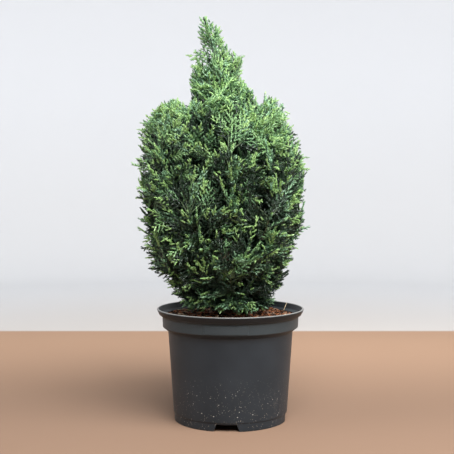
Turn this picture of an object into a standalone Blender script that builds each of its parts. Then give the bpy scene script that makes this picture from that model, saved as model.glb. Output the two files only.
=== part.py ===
"""A young Lawson cypress, a dense upright form, growing in a round plastic nursery pot.

Units are metres and +Z is up. The origin is on the floor, under the middle of the pot. +X is the
viewer's right and -Y faces the viewer. The stem leans to -X at its tip.
"""

import math

import bmesh
import bpy
import numpy as np
from mathutils import Matrix, Vector

GAP = 0.0003  # clearance between pieces that touch

# Pot: a five litre injection moulded container.
POT_HEIGHT = 0.172
POT_WALL = 0.0018
LIP_RADIUS = 0.1134
LIP_DEPTH = 0.0090
BAND_RADIUS = 0.1052
BAND_BOTTOM = 0.1444
BODY_TOP = 0.1380
BODY_TOP_RADIUS = 0.0963
FOOT_RADIUS = 0.0871
FOOT_HEIGHT = 0.0130
FOOT_INNER_RADIUS = 0.0665
CHANNEL_HEIGHT = 0.0090
PAD_RADIUS = 0.0310
POT_SEGMENTS = 36

# Drainage: four notches in the foot and four round holes in the raised ring between foot and pad.
NOTCH_COUNT = 4
NOTCH_FIRST = math.radians(266)
NOTCH_WIDTH = 0.0380
NOTCH_TOP_WIDTH = 0.0300
NOTCH_HEIGHT = 0.0104
DRAIN_RADIUS = 0.0065

# Label panel: a bare raised field on the band, facing the viewer.
PANEL_WIDTH = math.radians(36)
PANEL_MIDDLE = math.radians(266)
PANEL_PROUD = 0.0009

# Potting mix: it starts above the tunnels of the notches.
MIX_BOTTOM = 0.0140
MIX_EDGE = 0.1600
MIX_CROWN = 0.1635
MIX_CROWN_RADIUS = 0.0260

# Trunk.
TRUNK_FOOT = MIX_CROWN + GAP
TRUNK_TIP = 0.548
TRUNK_RADIUS = 0.0085
TRUNK_TIP_RADIUS = 0.0013
ROOT_FLARE = 0.0045
ROOT_FLARE_HEIGHT = 0.012
TRUNK_STEPS = 13

# Crown: top, lean of the leader, and how far it reaches to the left and right of the trunk.
CROWN_TOP = 0.622
LEADER_LEAN = 0.043
LEAN_POWER = 4
CROWN_REACH = (
    # height, left, right
    (0.165, 0.062, 0.055),
    (0.206, 0.104, 0.082),
    (0.240, 0.127, 0.095),
    (0.317, 0.146, 0.122),
    (0.350, 0.151, 0.126),
    (0.395, 0.149, 0.125),
    (0.431, 0.134, 0.108),
    (0.463, 0.120, 0.098),
    (0.492, 0.089, 0.076),
    (0.503, 0.056, 0.050),
    (0.560, 0.034, 0.034),
    (0.588, 0.018, 0.024),
    (CROWN_TOP, 0.004, 0.004),
)

# Rings of boughs from the foot up: name, count, first azimuth in degrees, height at the trunk,
# distance and height of the bough's tip, height of the plume's tip, its share of the reach, how
# many twigs it carries, and the size of its sprays.
RINGS = (
    ("skirt", 5, 54, 0.178, 0.030, 0.189, 0.222, 0.86, 4, 0.75),
    ("lower", 6, 0, 0.204, 0.038, 0.232, 0.318, 0.90, 4, 1.0),
    ("middle", 6, 30, 0.236, 0.038, 0.280, 0.408, 0.86, 4, 1.0),
    ("shoulder", 6, 0, 0.282, 0.034, 0.348, 0.480, 0.82, 4, 0.9),
    ("neck", 4, 0, 0.396, 0.016, 0.426, 0.554, 0.66, 4, 0.6),
)
BOUGH_STAGGER = 0.006
BOUGH_RADIUS = 0.0031
BOUGH_TIP_RADIUS = 0.0017
BOUGH_STEPS = 4
BOUGH_BEND = 0.30

# Plumes: each is one stem with twigs round it and flat toothed sprays on the twigs.
STEM_TIP_RADIUS = 0.0008
STEM_STEPS = 5
STEM_BOW = 0.10
LEADER_TWIG_COUNT = 3
TWIG_REACH = 0.070
TWIG_SHARE = 0.78
TWIG_RADIUS = 0.0015
TWIG_TIP_RADIUS = 0.0006
TWIG_OPEN = math.radians(62)
TWIG_CLOSE = math.radians(28)
GOLDEN_ANGLE = math.radians(137.5)
OUTER_SHARE = 0.66
SPRAY_LENGTH = 0.062
SPRAY_HALF_WIDTH = 0.021
SPRAY_THICKNESS = 0.0026
SPRAY_FINGERS = 3
SIDE_FINGERS = 2
SPRAY_SPREAD = math.radians(42)
SPRAY_SIZES = [1.30 * 0.93**i for i in range(14)]
LEADER_SIZE = 0.32
CORE_MIDDLE = 0.54
CORE_LENGTH = 0.49
CORE_RADIUS = 0.058
CORE_SHARE = 0.92
CORE_SKIN = 0.016
CORE_SIDES = 8
CORE_ROUGHNESS = 0.14
SPACE_MARGIN = 0.0022
LIMB_MARGIN = 0.0012
POT_CLEARANCE = 0.006
SEED = 1855


def trunk_middle(z):
    """Centre of the trunk at one height: upright below, leaning to the left near the tip."""
    share = max(0.0, (z - TRUNK_FOOT) / (CROWN_TOP - TRUNK_FOOT))
    return Vector((-LEADER_LEAN * share**LEAN_POWER, 0.0, z))


def trunk_radius(z):
    """Radius of the trunk: an even taper, and a flare over the last of it above the roots."""
    share = (z - TRUNK_FOOT) / (TRUNK_TIP - TRUNK_FOOT)
    taper = TRUNK_RADIUS + (TRUNK_TIP_RADIUS - TRUNK_RADIUS) * share**0.8
    return taper + ROOT_FLARE * math.exp((TRUNK_FOOT - z) / ROOT_FLARE_HEIGHT)


def reach(direction, z):
    """How far the crown reaches from the trunk at one height, towards one side."""
    heights, left, right = np.array(CROWN_REACH).T
    left, right = np.interp(z, heights, left), np.interp(z, heights, right)
    side = np.where(direction[..., 0] > 0, right, left)
    depth = (left + right) / 2
    return 1 / np.hypot(direction[..., 0] / side, direction[..., 1] / depth)


def inside_crown(points):
    """Whether points lie within the crown's outline, and above the pot and its mix."""
    z = points[:, 2]
    lean = -LEADER_LEAN * (np.clip(z - TRUNK_FOOT, 0, None) / (CROWN_TOP - TRUNK_FOOT)) ** LEAN_POWER
    flat = points[:, :2] - np.stack([lean, np.zeros(len(z))], axis=1)
    distance = np.linalg.norm(flat, axis=1)
    direction = flat / np.maximum(distance, 1e-9)[:, None]
    over_mix = z > MIX_CROWN + POT_CLEARANCE / 2
    over_lip = (z > POT_HEIGHT + POT_CLEARANCE) | (distance < LIP_RADIUS - 2 * POT_CLEARANCE)
    return (distance <= reach(direction, z)) & (z <= CROWN_TOP) & over_mix & over_lip


def bezier(start, control, end, steps):
    """Points along a quadratic curve."""
    shares = [i / steps for i in range(steps + 1)]
    return [start * (1 - t) ** 2 + control * (2 * t * (1 - t)) + end * t**2 for t in shares]


def distances(points, line):
    """Distance from each point to a line of joined segments."""
    starts, ends = line[:-1], line[1:]
    along = ends - starts
    offset = points[:, None] - starts[None]
    share = np.clip((offset * along).sum(2) / (along**2).sum(1), 0, 1)
    return np.linalg.norm(offset - share[..., None] * along, axis=2).min(axis=1)


def new_material(name, colour, roughness):
    material = bpy.data.materials.new(name)
    material.use_nodes = True
    shader = material.node_tree.nodes["Principled BSDF"]
    shader.inputs["Base Color"].default_value = (*colour, 1.0)
    shader.inputs["Roughness"].default_value = roughness
    return material


def add_object(name, mesh, collection, material=None):
    thing = bpy.data.objects.new(name, mesh)
    collection.objects.link(thing)
    if material:
        mesh.materials.clear()
        mesh.materials.append(material)
    return thing


def evaluated_mesh(thing, weld=True):
    """The mesh that an object's curve or modifiers make, with its loose caps welded."""
    graph = bpy.context.evaluated_depsgraph_get()
    mesh = bpy.data.meshes.new_from_object(thing.evaluated_get(graph))
    if not weld:
        return mesh
    shape = bmesh.new()
    shape.from_mesh(mesh)
    bmesh.ops.remove_doubles(shape, verts=shape.verts, dist=1e-6)
    shape.to_mesh(mesh)
    shape.free()
    return mesh


def limb(name, points, radii, collection, material, resolution=1):
    """A tapering limb: a curve with a round bevel and flat ends, made a mesh."""
    curve = bpy.data.curves.new(name, "CURVE")
    curve.dimensions = "3D"
    curve.bevel_depth = 1.0
    curve.bevel_resolution = resolution
    curve.use_fill_caps = True
    spline = curve.splines.new("POLY")
    spline.points.add(len(points) - 1)
    for point, place, radius in zip(spline.points, points, radii):
        point.co = (*place, 1.0)
        point.radius = radius
    guide = add_object(name + "_line", curve, collection)
    bpy.context.view_layer.update()
    thing = add_object(name, evaluated_mesh(guide), collection, material)
    thing.matrix_world = guide.matrix_world
    bpy.data.objects.remove(guide)
    for face in thing.data.polygons:
        face.use_smooth = len(face.vertices) == 4
    return thing


def apply_boolean(thing, operation, solver="EXACT", other=None, collection=None):
    """Joins or cuts another object or a collection, and keeps the result as the object's mesh."""
    modifier = thing.modifiers.new(operation.title(), "BOOLEAN")
    modifier.operation = operation
    modifier.solver = solver
    if collection:
        modifier.operand_type = "COLLECTION"
        modifier.collection = collection
    else:
        modifier.object = other
    bpy.context.view_layer.update()
    mesh = evaluated_mesh(thing, weld=False)
    thing.modifiers.clear()
    thing.data = mesh


def inset(profile, distance):
    """A profile moved to its left by a distance, with mitred corners; points on the axis stay on it."""
    moved = []
    for i, point in enumerate(profile):
        before = (point - profile[i - 1]).normalized() if i > 0 else None
        after = (profile[i + 1] - point).normalized() if i + 1 < len(profile) else None
        before, after = before or after, after or before
        normals = [Vector((-side.y, side.x)) for side in (before, after)]
        mitre = (normals[0] + normals[1]).normalized()
        step = mitre * (distance / mitre.dot(normals[0]))
        moved.append(Vector((max(0.0, point.x + step.x) if point.x else 0.0, point.y + step.y)))
    return moved


def pot_outline(beads=True):
    """The pot's outline from the lip down to the middle of its underside, with or without its small beads."""
    flange_bottom = POT_HEIGHT - LIP_DEPTH
    lip_bead = [(LIP_RADIUS, POT_HEIGHT - 0.0016)] if beads else []
    foot_bead = [(FOOT_RADIUS + 0.0008, FOOT_HEIGHT), (FOOT_RADIUS, FOOT_HEIGHT - 0.0008)] if beads else []
    rows = (
        (LIP_RADIUS - 0.0008, POT_HEIGHT),
        *lip_bead,
        (LIP_RADIUS - 0.0037, flange_bottom),
        (BAND_RADIUS, flange_bottom - 0.0030),
        (BAND_RADIUS - 0.0006, BAND_BOTTOM),
        (BODY_TOP_RADIUS, BODY_TOP),
        *foot_bead,
        (FOOT_RADIUS - 0.0006, 0.0),
        (FOOT_INNER_RADIUS, 0.0),
        (FOOT_INNER_RADIUS - 0.0025, CHANNEL_HEIGHT),
        (PAD_RADIUS + 0.0025, CHANNEL_HEIGHT),
        (PAD_RADIUS, 0.0),
        (0.0, 0.0),
    )
    return [Vector(row) for row in rows]


def turned(name, profile, collection, material=None, segments=POT_SEGMENTS, angle=2 * math.pi, first=0.0):
    """A solid turned from a profile of radius and height, by a Screw modifier that is applied."""
    whole = angle == 2 * math.pi
    mesh = bpy.data.meshes.new(name)
    shape = bmesh.new()
    verts = [shape.verts.new((math.cos(first) * p.x, math.sin(first) * p.x, p.y)) for p in profile]
    for a, b in zip(verts, verts[1:]):
        shape.edges.new((a, b))
    if not whole:
        shape.edges.new((verts[-1], verts[0]))
    shape.to_mesh(mesh)
    shape.free()
    thing = add_object(name, mesh, collection)
    screw = thing.modifiers.new("Turn", "SCREW")
    screw.angle = angle
    screw.steps = screw.render_steps = segments
    screw.use_merge_vertices = True
    screw.merge_threshold = 0.0001
    bpy.context.view_layer.update()
    thing.data = evaluated_mesh(thing)
    thing.modifiers.clear()
    shape = bmesh.new()
    shape.from_mesh(thing.data)
    bmesh.ops.holes_fill(shape, edges=shape.edges, sides=0)
    bmesh.ops.recalc_face_normals(shape, faces=shape.faces)
    shape.to_mesh(thing.data)
    shape.free()
    if material:
        thing.data.materials.append(material)
    return thing


def trapezoid(name, azimuth, bottom, top, low, high, near, far, collection):
    """A bar with a trapezoid section that lies along a radius, from near to far."""
    mesh = bpy.data.meshes.new(name)
    shape = bmesh.new()
    bmesh.ops.create_cube(shape, size=1.0)
    for vert in shape.verts:
        width = top if vert.co.z > 0 else bottom
        vert.co = Vector((
            near if vert.co.x < 0 else far,
            math.copysign(width / 2, vert.co.y),
            high if vert.co.z > 0 else low,
        ))
    bmesh.ops.rotate(shape, verts=shape.verts, matrix=Matrix.Rotation(azimuth, 3, "Z"))
    shape.to_mesh(mesh)
    shape.free()
    return add_object(name, mesh, collection)


def notch_bars(name, grow, low, near, far, collection):
    """One bar for each drainage notch, larger all round by grow."""
    return [
        trapezoid(
            f"{name}_{i + 1}",
            NOTCH_FIRST + i * 2 * math.pi / NOTCH_COUNT,
            NOTCH_WIDTH + 2 * grow,
            NOTCH_TOP_WIDTH + 2 * grow,
            low,
            NOTCH_HEIGHT + grow,
            near,
            far,
            collection,
        )
        for i in range(NOTCH_COUNT)
    ]


def drain_cutters(collection):
    """Upright cylinders for the round holes, halfway between the notches."""
    cutters = []
    ring = (PAD_RADIUS + FOOT_INNER_RADIUS) / 2
    for i in range(NOTCH_COUNT):
        azimuth = NOTCH_FIRST + (i + 0.5) * 2 * math.pi / NOTCH_COUNT
        mesh = bpy.data.meshes.new(f"drain_{i + 1}")
        shape = bmesh.new()
        place = Matrix.Translation((ring * math.cos(azimuth), ring * math.sin(azimuth), CHANNEL_HEIGHT))
        bmesh.ops.create_cone(
            shape,
            cap_ends=True,
            segments=12,
            radius1=DRAIN_RADIUS,
            radius2=DRAIN_RADIUS,
            depth=4 * POT_WALL,
            matrix=place,
        )
        shape.to_mesh(mesh)
        shape.free()
        cutters.append(add_object(mesh.name, mesh, collection))
    return cutters


def make_pot(parts, cutters, material):
    """The shell, the tunnels over its notches, the notches, the drain holes and the label panel."""
    inside = inset(pot_outline(beads=False), -POT_WALL)
    inside[0].y = POT_HEIGHT
    pot = turned("pot", inside[::-1] + pot_outline(), parts, material)
    tunnel_end = FOOT_RADIUS - 0.0045
    for bar in notch_bars("tunnel", POT_WALL, POT_WALL / 2, FOOT_INNER_RADIUS - 0.0060, tunnel_end, cutters):
        apply_boolean(pot, "UNION", other=bar)
    for bar in notch_bars("notch", 0.0, -POT_WALL, FOOT_INNER_RADIUS - 0.0070, FOOT_RADIUS + 0.005, cutters):
        apply_boolean(pot, "DIFFERENCE", other=bar)
    for drain in drain_cutters(cutters):
        apply_boolean(pot, "DIFFERENCE", other=drain)
    low, high = BAND_BOTTOM + 0.0012, POT_HEIGHT - LIP_DEPTH - 0.0042
    panel_profile = [
        Vector((BAND_RADIUS - 0.0012, high)),
        Vector((BAND_RADIUS + PANEL_PROUD, high)),
        Vector((BAND_RADIUS + PANEL_PROUD - 0.0006, low)),
        Vector((BAND_RADIUS - 0.0014, low)),
    ]
    start = PANEL_MIDDLE - PANEL_WIDTH / 2
    panel = turned("panel", panel_profile, cutters, segments=8, angle=PANEL_WIDTH, first=start)
    apply_boolean(pot, "UNION", other=panel)
    pot.data.set_sharp_from_angle(angle=math.radians(40))
    return pot


def make_mix(parts, material):
    """The potting mix: it fills the pot to a little under the lip and rises a bit round the trunk."""
    wall = inset(pot_outline(beads=False), -(POT_WALL + GAP))
    heights, radii = np.array([(p.y, p.x) for p in wall[::-1]]).T
    edge, bottom = (Vector((float(np.interp(z, heights, radii)), z)) for z in (MIX_EDGE, MIX_BOTTOM))
    side = [p for p in wall if MIX_BOTTOM < p.y < MIX_EDGE]
    middle = Vector(((edge.x + MIX_CROWN_RADIUS) / 2, MIX_EDGE + 0.0012))
    crown = [Vector((0.0, MIX_CROWN)), Vector((MIX_CROWN_RADIUS, MIX_CROWN))]
    turned("potting_mix", crown + [middle, edge] + side + [bottom, Vector((0.0, MIX_BOTTOM))], parts, material)


def trunk_line(extra=0.0):
    """Points and radii up the trunk."""
    heights = [TRUNK_FOOT + (TRUNK_TIP - TRUNK_FOOT) * (i / TRUNK_STEPS) ** 1.35 for i in range(TRUNK_STEPS + 1)]
    return [trunk_middle(z) for z in heights], [trunk_radius(z) + extra for z in heights]


class Plume:
    """One bough's line and the line of the plume's stem that goes on from its tip."""

    def __init__(self, name, bough, stem, twigs, size):
        self.name, self.bough, self.stem, self.twigs, self.size = name, bough, stem, twigs, size
        self.line = np.array(stem)


def plan_plumes():
    """Lays out every bough and plume: rings round the trunk, and the leader on its tip."""
    plumes = []
    for name, count, first, start_z, foot_r, foot_z, tip_z, share, twigs, size in RINGS:
        for i in range(count):
            azimuth = math.radians(first + 360 * i / count)
            out = Vector((math.cos(azimuth), math.sin(azimuth), 0.0))
            start = trunk_middle(start_z + BOUGH_STAGGER * (i % 2 - 0.5) * 2)
            foot = trunk_middle(foot_z) + out * foot_r
            far = float(reach(np.array(out), tip_z + 0.004 * math.cos(1.9 * i)))
            tip = trunk_middle(tip_z) + out * far * share
            bough = bezier(start, foot - (tip - foot) * BOUGH_BEND, foot, BOUGH_STEPS)
            heading = (bough[-1] - bough[-2]).normalized()
            base = foot + heading * GAP
            control = base + heading * (tip - foot).length / 2 + out * (tip - foot).length * STEM_BOW
            stem = bezier(base, control, tip, STEM_STEPS)
            plumes.append(Plume(f"{name}_{i + 1}", bough, stem, twigs, size))
    base = trunk_middle(TRUNK_TIP)
    heading = (base - trunk_middle(TRUNK_TIP - 0.02)).normalized()
    base += heading * GAP
    tip = trunk_middle(CROWN_TOP - 0.008)
    stem = bezier(base, (base + tip) / 2 + Vector((0.002, 0.0, 0.0)), tip, STEM_STEPS)
    plumes.append(Plume("leader", None, stem, LEADER_TWIG_COUNT, LEADER_SIZE))
    return plumes


class Space:
    """The room that each plume may fill: nearer to its own stem than to any other, in the crown."""

    def __init__(self, plumes):
        self.plumes = plumes
        trunk_points, trunk_radii = trunk_line()
        self.limbs = [(np.array(trunk_points), max(trunk_radii[3:]))]
        self.limbs += [(np.array(p.bough), BOUGH_RADIUS) for p in plumes if p.bough]

    def holds(self, plume, points):
        points = np.array(points)
        if not inside_crown(points).all():
            return False
        own = distances(points, plume.line)
        for other in self.plumes:
            if other is not plume and (distances(points, other.line) < own + SPACE_MARGIN).any():
                return False
        return all((distances(points, line) > radius + LIMB_MARGIN).all() for line, radius in self.limbs)

    def room(self, plume, start, arm):
        """The arm, shortened until its end lies within the plume's space."""
        while arm.length > 0.003 and not self.holds(plume, [start + arm]):
            arm = arm * 0.93
        return arm


def along(line, share):
    """Place and heading at a share of a line's length."""
    at = share * (len(line) - 1)
    i = min(int(at), len(line) - 2)
    return line[i].lerp(line[i + 1], at - i), (line[i + 1] - line[i]).normalized()


def spray_outline(root, heading, normal, length, half_width, fingers):
    """Rim points of a flat toothed spray: for each finger its notch and its tip, on both sides."""
    side = heading.cross(normal).normalized()
    rims = []
    for hand in (1, -1):
        rim = []
        for k in range(fingers):
            start = 0.06 + 0.86 * k / fingers
            narrow = 1 - 0.62 * (k / fingers) ** 1.3
            rim.append(root + heading * (length * start) + side * (hand * half_width * 0.13 * narrow))
            rim.append(root + heading * (length * (start + 0.90 / fingers)) + side * (hand * half_width * narrow))
        rims.append(rim)
    return rims, root + heading * length


def add_spray(root, heading, normal, length, half_width, fingers, collection):
    """A thin solid spray: the toothed rim, with a raised rib above and below its middle line."""
    (right, left), tip = spray_outline(root, heading, normal, length, half_width, fingers)
    mesh = bpy.data.meshes.new("spray")
    shape = bmesh.new()
    end = shape.verts.new(tip)
    rims = [[shape.verts.new(p) for p in rim] + [end] for rim in (right, left)]
    for face_up in (1, -1):
        lift = normal * (face_up * SPRAY_THICKNESS / 2)
        rib = [shape.verts.new((right[2 * k] + left[2 * k]) / 2 + lift) for k in range(fingers)] + [end]
        shape.faces.new((rib[0], rims[0][0], rims[1][0]))
        for rim in rims:
            for k in range(fingers):
                notch, finger, following = rim[2 * k : 2 * k + 3]
                shape.faces.new((rib[k], notch, finger))
                shape.faces.new((rib[k], finger, rib[k + 1]))
                if following is not end:
                    shape.faces.new((rib[k + 1], finger, following))
    bmesh.ops.recalc_face_normals(shape, faces=shape.faces)
    shape.to_mesh(mesh)
    shape.free()
    return add_object("spray", mesh, collection)


def add_twig(start, end, radius, tip_radius, collection):
    """A three-sided tapering twig."""
    heading = end - start
    mesh = bpy.data.meshes.new("twig")
    shape = bmesh.new()
    bmesh.ops.create_cone(
        shape,
        cap_ends=True,
        segments=3,
        radius1=radius,
        radius2=tip_radius,
        depth=heading.length,
        matrix=Matrix.Translation((start + end) / 2) @ heading.to_track_quat("Z", "Y").to_matrix().to_4x4(),
    )
    shape.to_mesh(mesh)
    shape.free()
    return add_object("twig", mesh, collection)


def add_core(plume, space, chance, collection):
    """The dense middle of a plume: an egg round its stem, drawn in where it would leave the space."""
    middle, heading = along(plume.stem, CORE_MIDDLE)
    half = (plume.stem[-1] - plume.stem[0]).length * CORE_LENGTH / CORE_SHARE
    radius = CORE_RADIUS * plume.size / CORE_SHARE
    turn = heading.to_track_quat("Z", "Y")
    mesh = bpy.data.meshes.new("core")
    shape = bmesh.new()
    bmesh.ops.create_uvsphere(shape, u_segments=CORE_SIDES, v_segments=5, radius=1.0)
    for vert in shape.verts:
        size = 1 + CORE_ROUGHNESS * (chance.random() - 0.5) * 2
        arm = turn @ Vector((vert.co.x * radius * size, vert.co.y * radius * size, vert.co.z * half))
        skin = arm.normalized() * (CORE_SKIN * plume.size)
        arm = space.room(plume, middle, arm) * CORE_SHARE
        while arm.length > 0.003 and not inside_crown(np.array([middle + arm + skin]))[0]:
            arm = arm * 0.93
        vert.co = middle + arm
    bmesh.ops.recalc_face_normals(shape, faces=shape.faces)
    shape.to_mesh(mesh)
    shape.free()
    return add_object("core", mesh, collection)


def twig_heading(plume, share, number, out):
    """A twig's heading: golden angles round the stem, mostly outwards, more upright near the tip."""
    place, heading = along(plume.stem, share)
    wrapped = (number * GOLDEN_ANGLE + math.pi) % (2 * math.pi) - math.pi
    outer = (out - heading * out.dot(heading)).normalized()
    side = heading.cross(outer)
    turn = wrapped * (1.0 if plume.bough is None else OUTER_SHARE)
    radial = outer * math.cos(turn) + side * math.sin(turn)
    tilt = TWIG_OPEN + (TWIG_CLOSE - TWIG_OPEN) * share
    return place, heading * math.cos(tilt) + radial * math.sin(tilt), heading.cross(radial)


def place_spray(plume, space, root, heading, normal, fingers, collection):
    """Adds the largest spray that keeps to the plume's space, or none."""
    for size in SPRAY_SIZES:
        size *= plume.size
        shape = root, heading, normal, SPRAY_LENGTH * size, SPRAY_HALF_WIDTH * size, fingers
        (right, left), tip = spray_outline(*shape)
        if space.holds(plume, right[1:] + left[1:] + [tip]):
            add_spray(*shape, collection)
            return


def grow_plume(plume, space, chance, parts, material):
    """Grows one plume and joins it into one solid."""
    branches = bpy.data.collections.new("branches")
    bpy.context.scene.collection.children.link(branches)
    stem_radii = [BOUGH_TIP_RADIUS + (STEM_TIP_RADIUS - BOUGH_TIP_RADIUS) * i / STEM_STEPS for i in range(STEM_STEPS + 1)]
    plume_solid = limb("foliage_" + plume.name, plume.stem, stem_radii, parts, material, resolution=0)
    add_core(plume, space, chance, branches)
    flat = plume.stem[-1] - trunk_middle(plume.stem[-1].z)
    out = flat.normalized() if plume.bough else Vector((-1.0, 0.0, 0.0))
    for number in range(plume.twigs):
        share = 0.14 + 0.72 * (number + 0.5) / plume.twigs
        start, heading, normal = twig_heading(plume, share, number, out)
        normal = Matrix.Rotation(math.radians(70) * (chance.random() - 0.5), 3, heading) @ normal
        length = space.room(plume, start, heading * TWIG_REACH).length * TWIG_SHARE
        add_twig(start, start + heading * length, TWIG_RADIUS, TWIG_TIP_RADIUS, branches)
        place_spray(plume, space, start + heading * length * 0.60, heading, normal, SPRAY_FINGERS, branches)
        for hand in (1, -1):
            turned_heading = Matrix.Rotation(hand * SPRAY_SPREAD, 3, normal) @ heading
            place_spray(plume, space, start + heading * length * 0.40, turned_heading, normal, SIDE_FINGERS, branches)
    root, heading = along(plume.stem, 0.82)
    place_spray(plume, space, root, heading, heading.cross(out).normalized(), SPRAY_FINGERS, branches)
    apply_boolean(plume_solid, "UNION", solver="MANIFOLD", collection=branches)
    for piece in list(branches.objects):
        bpy.data.objects.remove(piece)
    bpy.data.collections.remove(branches)
    keep_outer_shell(plume_solid)
    return plume_solid


def keep_outer_shell(thing):
    """Keeps the largest connected surface: a loose scrap is dropped and a sealed hollow is filled."""
    shape = bmesh.new()
    shape.from_mesh(thing.data)
    unseen, islands = set(shape.verts), []
    while unseen:
        found, edge = set(), {next(iter(unseen))}
        while edge:
            found |= edge
            edge = {e.other_vert(v) for v in edge for e in v.link_edges} - found
        unseen -= found
        islands.append(found)
    largest = max(islands, key=len)
    bmesh.ops.delete(shape, geom=[v for v in shape.verts if v not in largest], context="VERTS")
    shape.to_mesh(thing.data)
    shape.free()


def make_bough(plume, parts, cutter, material):
    """One bough, thicker at its collar, cut clear of the trunk."""
    shares = [i / BOUGH_STEPS for i in range(BOUGH_STEPS + 1)]
    slim = 0.62 if plume.name.startswith("neck") else 1.0
    radii = [BOUGH_TIP_RADIUS + (BOUGH_RADIUS * slim - BOUGH_TIP_RADIUS) * (1 - t) ** 1.4 for t in shares]
    bough = limb("bough_" + plume.name, plume.bough, radii, parts, material)
    apply_boolean(bough, "DIFFERENCE", other=cutter)
    keep_outer_shell(bough)
    return bough


def main():
    for thing in list(bpy.data.objects):
        bpy.data.objects.remove(thing)
    scene = bpy.context.scene.collection
    parts = bpy.data.collections.new("lawson_cypress")
    cutters = bpy.data.collections.new("cutters")
    scene.children.link(parts)
    scene.children.link(cutters)
    plastic = new_material("pot_plastic", (0.040, 0.043, 0.046), 0.45)
    mix = new_material("potting_mix", (0.075, 0.036, 0.020), 0.95)
    bark = new_material("bark", (0.120, 0.070, 0.045), 0.85)
    leaf = new_material("foliage", (0.060, 0.150, 0.050), 0.60)

    make_pot(parts, cutters, plastic)
    make_mix(parts, mix)
    limb("trunk", *trunk_line(), parts, bark, resolution=2)
    trunk_room = limb("trunk_room", *trunk_line(GAP), cutters, bark, resolution=2)
    plumes = plan_plumes()
    space = Space(plumes)
    for number, plume in enumerate(plumes):
        if plume.bough:
            make_bough(plume, parts, trunk_room, bark)
        grow_plume(plume, space, np.random.RandomState(SEED + number), parts, leaf)
    for cutter in cutters.objects:
        cutter.hide_render = True
        cutter.display_type = "WIRE"
    bpy.context.view_layer.update()


main()
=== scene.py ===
# %% [markdown]
# A young Lawson cypress in its nursery pot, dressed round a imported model.
#
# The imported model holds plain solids: a pot, its potting mix, a trunk, boughs and one faceted mass for
# each plume of foliage. This lesson opens that model as a fixed frame and grows the real surface of every
# part over it, in metres and in the same place. Nothing of the frame is moved.
#
# Everything new is worked out with numpy as whole arrays. A shape is a function on a grid, or one small
# shape that is laid along thousands of curves in one step.

# %% Open the frame
import math

import bmesh
import bpy
import numpy as np
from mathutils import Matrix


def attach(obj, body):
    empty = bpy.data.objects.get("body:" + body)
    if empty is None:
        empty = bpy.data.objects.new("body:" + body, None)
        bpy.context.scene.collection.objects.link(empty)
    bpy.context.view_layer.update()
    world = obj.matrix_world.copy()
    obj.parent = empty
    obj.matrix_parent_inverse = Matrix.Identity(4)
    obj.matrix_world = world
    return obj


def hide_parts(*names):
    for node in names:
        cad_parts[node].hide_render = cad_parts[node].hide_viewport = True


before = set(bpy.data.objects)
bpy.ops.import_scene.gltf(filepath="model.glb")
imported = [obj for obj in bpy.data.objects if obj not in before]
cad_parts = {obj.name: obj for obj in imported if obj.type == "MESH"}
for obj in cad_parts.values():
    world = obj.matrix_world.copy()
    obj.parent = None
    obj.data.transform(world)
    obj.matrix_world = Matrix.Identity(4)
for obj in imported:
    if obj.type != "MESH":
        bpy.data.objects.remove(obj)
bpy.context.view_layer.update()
scene = bpy.context.scene
LIMB_NODES = sorted(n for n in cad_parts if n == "trunk" or n.startswith("bough_"))
MASS_NODES = sorted(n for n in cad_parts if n.startswith("foliage_"))
print("frame:", len(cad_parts), "nodes,", len(LIMB_NODES), "limbs,", len(MASS_NODES), "masses")

# %% [markdown]
# The camera stands where the photograph was taken from: a little above half the plant's height, 1.4 m
# away, looking down by less than three degrees. The lens was fitted to the pot's lip, shoulder and foot.

# %% Camera
CAMERA_PLACE = (-0.0053, -1.4259, 0.3579)
CAMERA_DROP = math.radians(2.44)
camera_data = bpy.data.cameras.new("camera")
camera_data.sensor_width = 36.0
camera_data.lens = 73.3
camera = bpy.data.objects.new("camera", camera_data)
camera.location = CAMERA_PLACE
camera.rotation_euler = (math.pi / 2 - CAMERA_DROP, 0.0, 0.0)
scene.collection.objects.link(camera)
scene.camera = camera

# %% [markdown]
# A few small helpers serve every piece. A mesh is filled straight from arrays, which is quick even for a
# hundred thousand faces. A grid of points is joined by four-sided faces. Smooth noise between -1 and 1
# comes from one table of random heights, blended between its whole numbers, so each run gives the same.

# %% Helpers for meshes
def new_mesh(name, points, faces, smooth=True):
    """A mesh from points, as rows of x, y, z, and faces, as rows of three or four corner numbers."""
    mesh = bpy.data.meshes.new(name)
    count, corners = faces.shape
    mesh.vertices.add(len(points))
    mesh.vertices.foreach_set("co", np.ascontiguousarray(points, dtype=np.float32).ravel())
    mesh.loops.add(count * corners)
    mesh.loops.foreach_set("vertex_index", np.ascontiguousarray(faces, dtype=np.int32).ravel())
    mesh.polygons.add(count)
    mesh.polygons.foreach_set("loop_start", np.arange(0, count * corners, corners, dtype=np.int32))
    mesh.polygons.foreach_set("use_smooth", np.full(count, smooth))
    mesh.update(calc_edges=True)
    return mesh


def add_piece(name, mesh, material, slot=None, nodes=()):
    """Puts a mesh in the scene. A piece of the plant rides on the root body and stands for CAD nodes."""
    piece = bpy.data.objects.new(name, mesh)
    scene.collection.objects.link(piece)
    mesh.materials.append(material)
    if slot:
        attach(piece, "root")
        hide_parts(*nodes)
    print(name, len(mesh.polygons), "faces")
    return piece


def rings(radius, height, turn):
    """Points on circles round the Z axis: a row for each radius and height, a column for each angle."""
    radius, height = np.asarray(radius)[:, None], np.asarray(height)[:, None]
    return np.stack([radius * np.cos(turn), radius * np.sin(turn), height + 0 * turn], -1)


def grid_mesh(name, grid, inwards=False):
    """A mesh of four-sided faces between neighbours of a grid whose last column meets the first. Points
    that lie on each other are merged, which closes a pole where a row of points meets in one."""
    faces = grid_faces(*grid.shape[:2])
    mesh = new_mesh(name, grid.reshape(-1, 3), faces[:, ::-1] if inwards else faces)
    return merge_points(mesh)


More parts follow.
